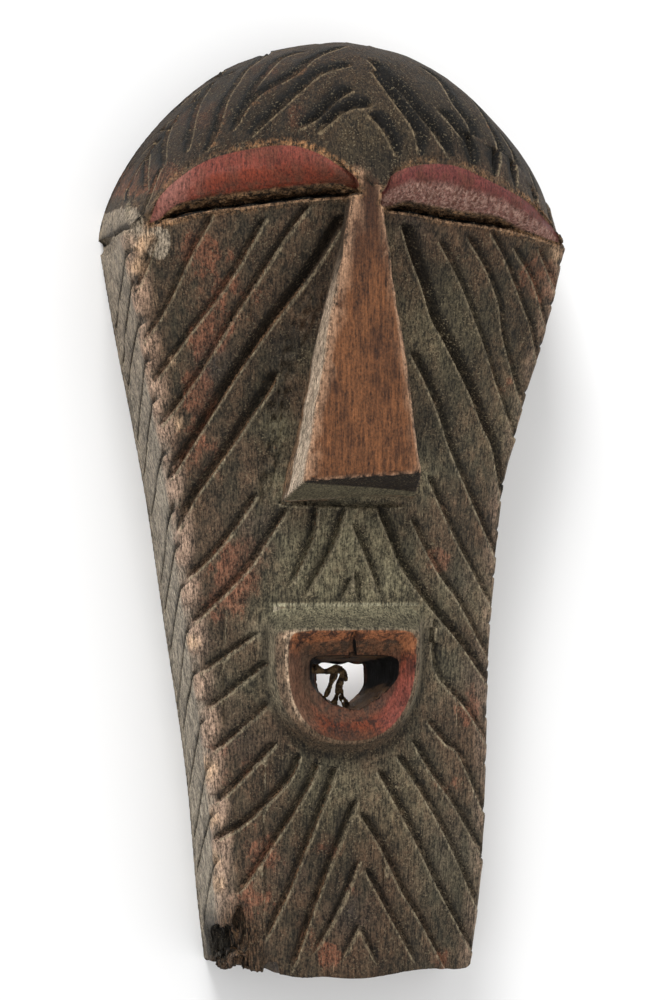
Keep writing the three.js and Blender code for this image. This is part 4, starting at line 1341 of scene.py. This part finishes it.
def painted_mouth(f, colour):
    """Dusty block with a pale worn rim and a painted highlight on its upper left, painted shade along its
    foot, lips painted in the funnel only, painted shade on the lower lip and in the hole.
    """
    lips, block_edge, ledge = f.mark("lips"), f.mark("lip_block"), f.mark("ledge")
    in_lips = f.plus(lips, f.ragged)
    wall = f.band(f.plus(block_edge, f.ragged), -2.6, -0.4)
    wall_tone = f.blend(f.mottle, tone(108, 99, 82), tone(140, 128, 108))
    wall_tone = f.blend(f.band(f.y, -34, -41), wall_tone, tone(72, 57, 43))
    colour = f.blend(f.times(wall, 0.75), colour, wall_tone)
    foot = f.plus(f.mark("lip_foot"), f.ragged)
    # painted shade along the foot of the block where it meets the face
    crease_shade = f.times(f.band(foot, -0.9, -0.2), f.band(foot, 0.6, 0.1), f.band(f.y, -20.5, -23))
    colour = f.blend(f.times(crease_shade, 0.6), colour, tone(34, 29, 21))
    depth = f.plus(f.y, f.ragged)
    shelf = f.blend(f.band(depth, -20.8, -18.0), tone(86, 80, 64), tone(124, 117, 96))
    colour = f.blend(f.times(ledge, f.band(f.dirt, 0.3, 0.6, 0.7, 0.97)), colour, shelf)
    across = f.times(f.band(f.x, -15.0, -14.4), f.band(f.x, 12.8, 12.2))
    back_edge = f.times(f.band(depth, -18.0, -17.7), f.band(depth, -17.1, -17.4), across)
    back_edge = f.times(back_edge, f.band(f.mottle, 0.35, 0.6, 0.3, 0.85))
    colour = f.blend(back_edge, colour, tone(164, 156, 132))
    above = f.times(f.band(depth, -17.1, -16.9), f.band(depth, -15.6, -16.6), across)
    colour = f.blend(f.times(above, 0.45), colour, tone(50, 45, 34))
    # pale worn rim, lightest on the upper left as a painted highlight, darker to the right and at the
    # bottom
    rim_wear_and_highlight = f.times(f.band(f.plus(block_edge, f.ragged), -0.2, 0.2), f.band(in_lips, 0.3, 0.0))
    rim_wear_and_light_tone = f.blend(f.band(in_lips, -0.6, -0.2), tone(112, 90, 74), tone(190, 160, 136))
    rim_wear_and_light_tone = f.blend(f.band(f.x, -6, 3), rim_wear_and_light_tone, tone(104, 86, 70))
    rim_wear_and_light_tone = f.blend(f.band(f.y, -36, -40), rim_wear_and_light_tone, tone(92, 72, 56))
    rim_wear_and_highlight = f.times(rim_wear_and_highlight, f.band(f.y, -21.6, -22.8), f.band(f.mottle, 0.3, 0.5, 0.6, 0.9))
    colour = f.blend(rim_wear_and_highlight, colour, rim_wear_and_light_tone)

    stain = f.band(f.plus(f.mottle, f.swing(f.sand, 0.6)), 0.36, 0.6)
    red = f.blend(stain, tone(64, 34, 23), tone(128, 63, 40))
    red = f.blend(f.band(f.y, -28, -25), red, f.blend(stain, tone(84, 52, 38), tone(164, 104, 70)))
    rosy = f.times(f.band(f.x, 3, 8), f.band(f.y, -25, -33), f.band(f.mottle, 0.3, 0.5, 0.5, 1.0))
    red = f.blend(f.times(rosy, 0.8), red, tone(152, 80, 72))
    red = f.blend(f.times(f.band(f.x, -4, -9), f.band(f.y, -24, -28)), red, tone(112, 80, 64))
    # painted shade on the lower lip where it faces down, left of the middle
    lower_lip_shade = f.times(f.band(f.y, -39, -41.5), f.band(f.x, 7, 3))
    red = f.blend(lower_lip_shade, red, f.blend(f.mottle, tone(60, 36, 26), tone(110, 68, 46)))
    inner = f.band(in_lips, 2.2, 2.9)
    red = f.blend(f.times(inner, 0.6), red, f.blend(f.grain, tone(52, 40, 32), tone(96, 84, 70)))
    on_lips = f.band(in_lips, 0.0, 0.25)
    colour = f.blend(f.times(on_lips, f.band(f.dirt, 0.2, 0.5, 0.8, 0.97)), colour, red)
    # painted shadow, near black, on the walls of the mouth hole
    colour = f.blend(f.band(f.mark("hole"), 0.1, 0.5), colour, tone(6, 4, 3))
    strands = f.blend(f.band(f.dirt, 0.4, 0.6), tone(46, 34, 22), tone(128, 104, 74))
    return f.blend(f.mark("fibre"), colour, strands), on_lips


def rot_and_back(f, colour):
    """Dark rotted fibres at the lower left corner, with painted shade, very dark, deep in its pocket, plain
    paler wood at the back.
    """
    strands = f.band(f.plus(f.fibre, f.swing(f.mottle, 0.5)), 0.4, 0.65)
    rot_and_shade = f.blend(strands, tone(32, 24, 17), tone(88, 66, 50))
    # painted shade deep in the rotted pocket
    rot_and_shade = f.blend(f.times(f.band(f.z, 15, 12), f.band(f.y, -83, -82)), rot_and_shade, tone(12, 9, 6))
    colour = f.blend(f.times(f.mark("rot"), f.band(f.mottle, 0.3, 0.6, 0.5, 0.95)), colour, rot_and_shade)
    streaks = f.band(f.plus(f.mottle, f.times(f.grain, 0.4)), 0.4, 1.0)
    plain = f.blend(streaks, tone(88, 64, 46), tone(132, 100, 72))
    return f.blend(f.times(f.mark("back"), 0.9), colour, plain)


def carved_wood():
    """The one material of the mask, and the noises that all its parts share."""
    f = Finish("stained_carved_wood")
    f.grain = f.noise(0.5, 4, (1, 0.07, 1), 0.6)
    f.fibre = f.noise(0.28, 3, (1, 0.12, 1), 0.6)
    f.blotch = f.noise(13, 4, (1, 0.55, 1), 0.6, 0.4)
    f.mottle = f.noise(2.6, 5, (1, 0.6, 1), 0.65)
    f.dirt = f.noise(1.1, 5, (1, 1, 1), 0.7)
    f.sand = f.noise(1.3, 4, (1, 0.6, 1), 0.7)
    f.ragged = f.swing(f.dirt, 0.3)
    grit = f.noise(0.32, 3, (1, 0.6, 1), 0.7)
    speck = f.noise(0.34, 2)
    f.x, f.y, f.z = (f.step("ShaderNodeSeparateXYZ", {0: f.place}, k) for k in range(3))

    colour, dusty = ground(f)
    colour = dirty_shaded_cuts(f, colour)
    colour, nose_front = nose_stain(f, colour)
    colour, on_lid = painted_lids(f, colour)
    colour, on_lips = painted_mouth(f, colour)
    colour = rot_and_back(f, colour)

    # fibres, grit and pale specks of dust over everything
    painted = f.math("MAXIMUM", on_lid, f.math("MAXIMUM", nose_front, on_lips))
    texture = f.plus(f.swing(grit, 4.6), f.swing(f.sand, 2.0), f.swing(f.grain, 2.6), f.swing(f.fibre, 3.6))
    level = f.plus(f.times(texture, f.band(painted, 0, 1, 0.95, 0.55)), 1.0)
    level = f.math("MAXIMUM", level, 0.25)

    # the face pales downwards beside the chin, the forehead is darker, the lids lighter
    beside_chin = f.math("MAXIMUM", f.band(f.y, -60, -46), f.band(f.math("ABSOLUTE", f.x), 8, 15))
    low_face = f.times(f.band(f.y, 34, 0), f.band(painted, 0.5, 0.1), beside_chin)
    head = f.times(f.band(f.y, 58, 66), f.band(f.x, 16, 2))
    tint = {}
    for channel, (plain, pale, dark, light) in enumerate(CHANNEL_GAINS):
        gain = f.plus(f.times(low_face, pale), f.times(head, -dark), f.times(on_lid, light), plain)
        tint[channel] = f.times(level, gain)
    colour = f.blend(1.0, colour, f.step("ShaderNodeCombineColor", tint), "MULTIPLY")
    specks = f.times(f.band(speck, 0.57, 0.68), f.plus(f.times(dusty, 0.6), 0.35))
    specks = f.times(specks, f.band(f.mottle, 0.35, 0.6), f.band(painted, 0, 1, 1.0, 0.15))
    specks = f.times(specks, f.band(f.mark("hole"), 0.5, 0.1))
    colour = f.blend(specks, colour, tone(176, 160, 128))

    shine = f.plus(f.times(nose_front, 0.25), f.times(on_lips, 0.2), f.times(on_lid, 0.24))
    shine = f.math("SUBTRACT", shine, f.times(f.mark("hole"), 0.2))
    roughness = f.math("SUBTRACT", f.band(f.mottle, 0.3, 0.7, 0.66, 0.82), shine)
    relief = f.plus(f.times(f.fibre, 0.6), f.times(f.grain, 0.9), f.times(f.dirt, 0.6))
    relief = f.plus(relief, f.times(grit, 0.8), f.times(specks, 0.3))
    f.shader.inputs["Specular IOR Level"].default_value = GLOSS
    return f.join(colour, roughness, relief)


cuts = all_cuts()
mesh = rough_out()
carve_detail(mesh, cuts)
mesh = thinned(mesh, MOST_TRIANGLES)
mark_up(mesh, cuts)
mesh.shade_smooth()
seat(mesh)
mask = new_object("carved_mask", mesh)
mesh.materials.clear()
mesh.materials.append(carved_wood())
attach(mask, "root")
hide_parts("mask")

# The studio.

VIEW_ANGLE = math.radians(12)
VIEW_FAR = 1.0
AIM = np.array([0.1, -0.4, 20.0]) * MM
FILM = 36.0
# Width of the view at the mask, in metres, and how far it is shifted.
VIEW_WIDTH = 0.182
VIEW_SHIFT = (-0.0093, 0.0095)
FLOOR_HALF = 1.5
# Square lamps: name, place, what they point at, width, power and whether the
# camera sees them. The last one stands inside the mask.
LAMPS = (
    ("key", (-0.2, 0.85, 0.6), (0, 0, 0.02), 0.35, 8.0, True),
    ("fill", (0.5, -0.4, 0.9), (0, 0, 0.02), 0.9, 1.5, True),
    ("floor_under_mouth", (0.004, -0.019, 0.013), (0.004, -0.032, 0), 0.007, 0.0035, False),
)
ROOM_LIGHT = 0.8


def pale_floor():
    bm = bmesh.new()
    bmesh.ops.create_grid(bm, x_segments=1, y_segments=1, size=FLOOR_HALF)
    mesh = bpy.data.meshes.new("floor")
    bm.to_mesh(mesh)
    bm.free()
    floor = new_object("floor", mesh)
    paper = bpy.data.materials.new("pale_paper")
    paper.use_nodes = True
    paper.node_tree.nodes["Principled BSDF"].inputs["Base Color"].default_value = (0.9, 0.9, 0.9, 1)
    paper.node_tree.nodes["Principled BSDF"].inputs["Roughness"].default_value = 0.9
    mesh.materials.append(paper)


def soft_light(name, place, aim, size, power, seen):
    data = bpy.data.lights.new(name, "AREA")
    data.size, data.energy = size, power
    lamp = bpy.data.objects.new(name, data)
    lamp.location = place
    lamp.rotation_euler = (Vector(place) - Vector(aim)).to_track_quat("Z", "Y").to_euler()
    lamp.visible_camera = seen
    bpy.context.scene.collection.objects.link(lamp)


pale_floor()
for lamp in LAMPS:
    soft_light(*lamp)
world = bpy.data.worlds.new("studio")
world.use_nodes = True
world.node_tree.nodes["Background"].inputs["Color"].default_value = (1, 1, 1, 1)
world.node_tree.nodes["Background"].inputs["Strength"].default_value = ROOM_LIGHT
bpy.context.scene.world = world
bpy.context.scene.view_settings.view_transform = "Standard"

lens = bpy.data.cameras.new("camera")
lens.sensor_fit = "AUTO"
lens.sensor_width = FILM
lens.lens = FILM / VIEW_WIDTH
lens.shift_x, lens.shift_y = VIEW_SHIFT
lens.clip_start, lens.clip_end = 0.05, 10
camera = bpy.data.objects.new("camera", lens)
camera.location = AIM + VIEW_FAR * np.array([-math.sin(VIEW_ANGLE), 0, math.cos(VIEW_ANGLE)])
camera.rotation_euler = (0, -VIEW_ANGLE, 0)
bpy.context.scene.collection.objects.link(camera)
bpy.context.scene.camera = camera

bpy.context.view_layer.update()
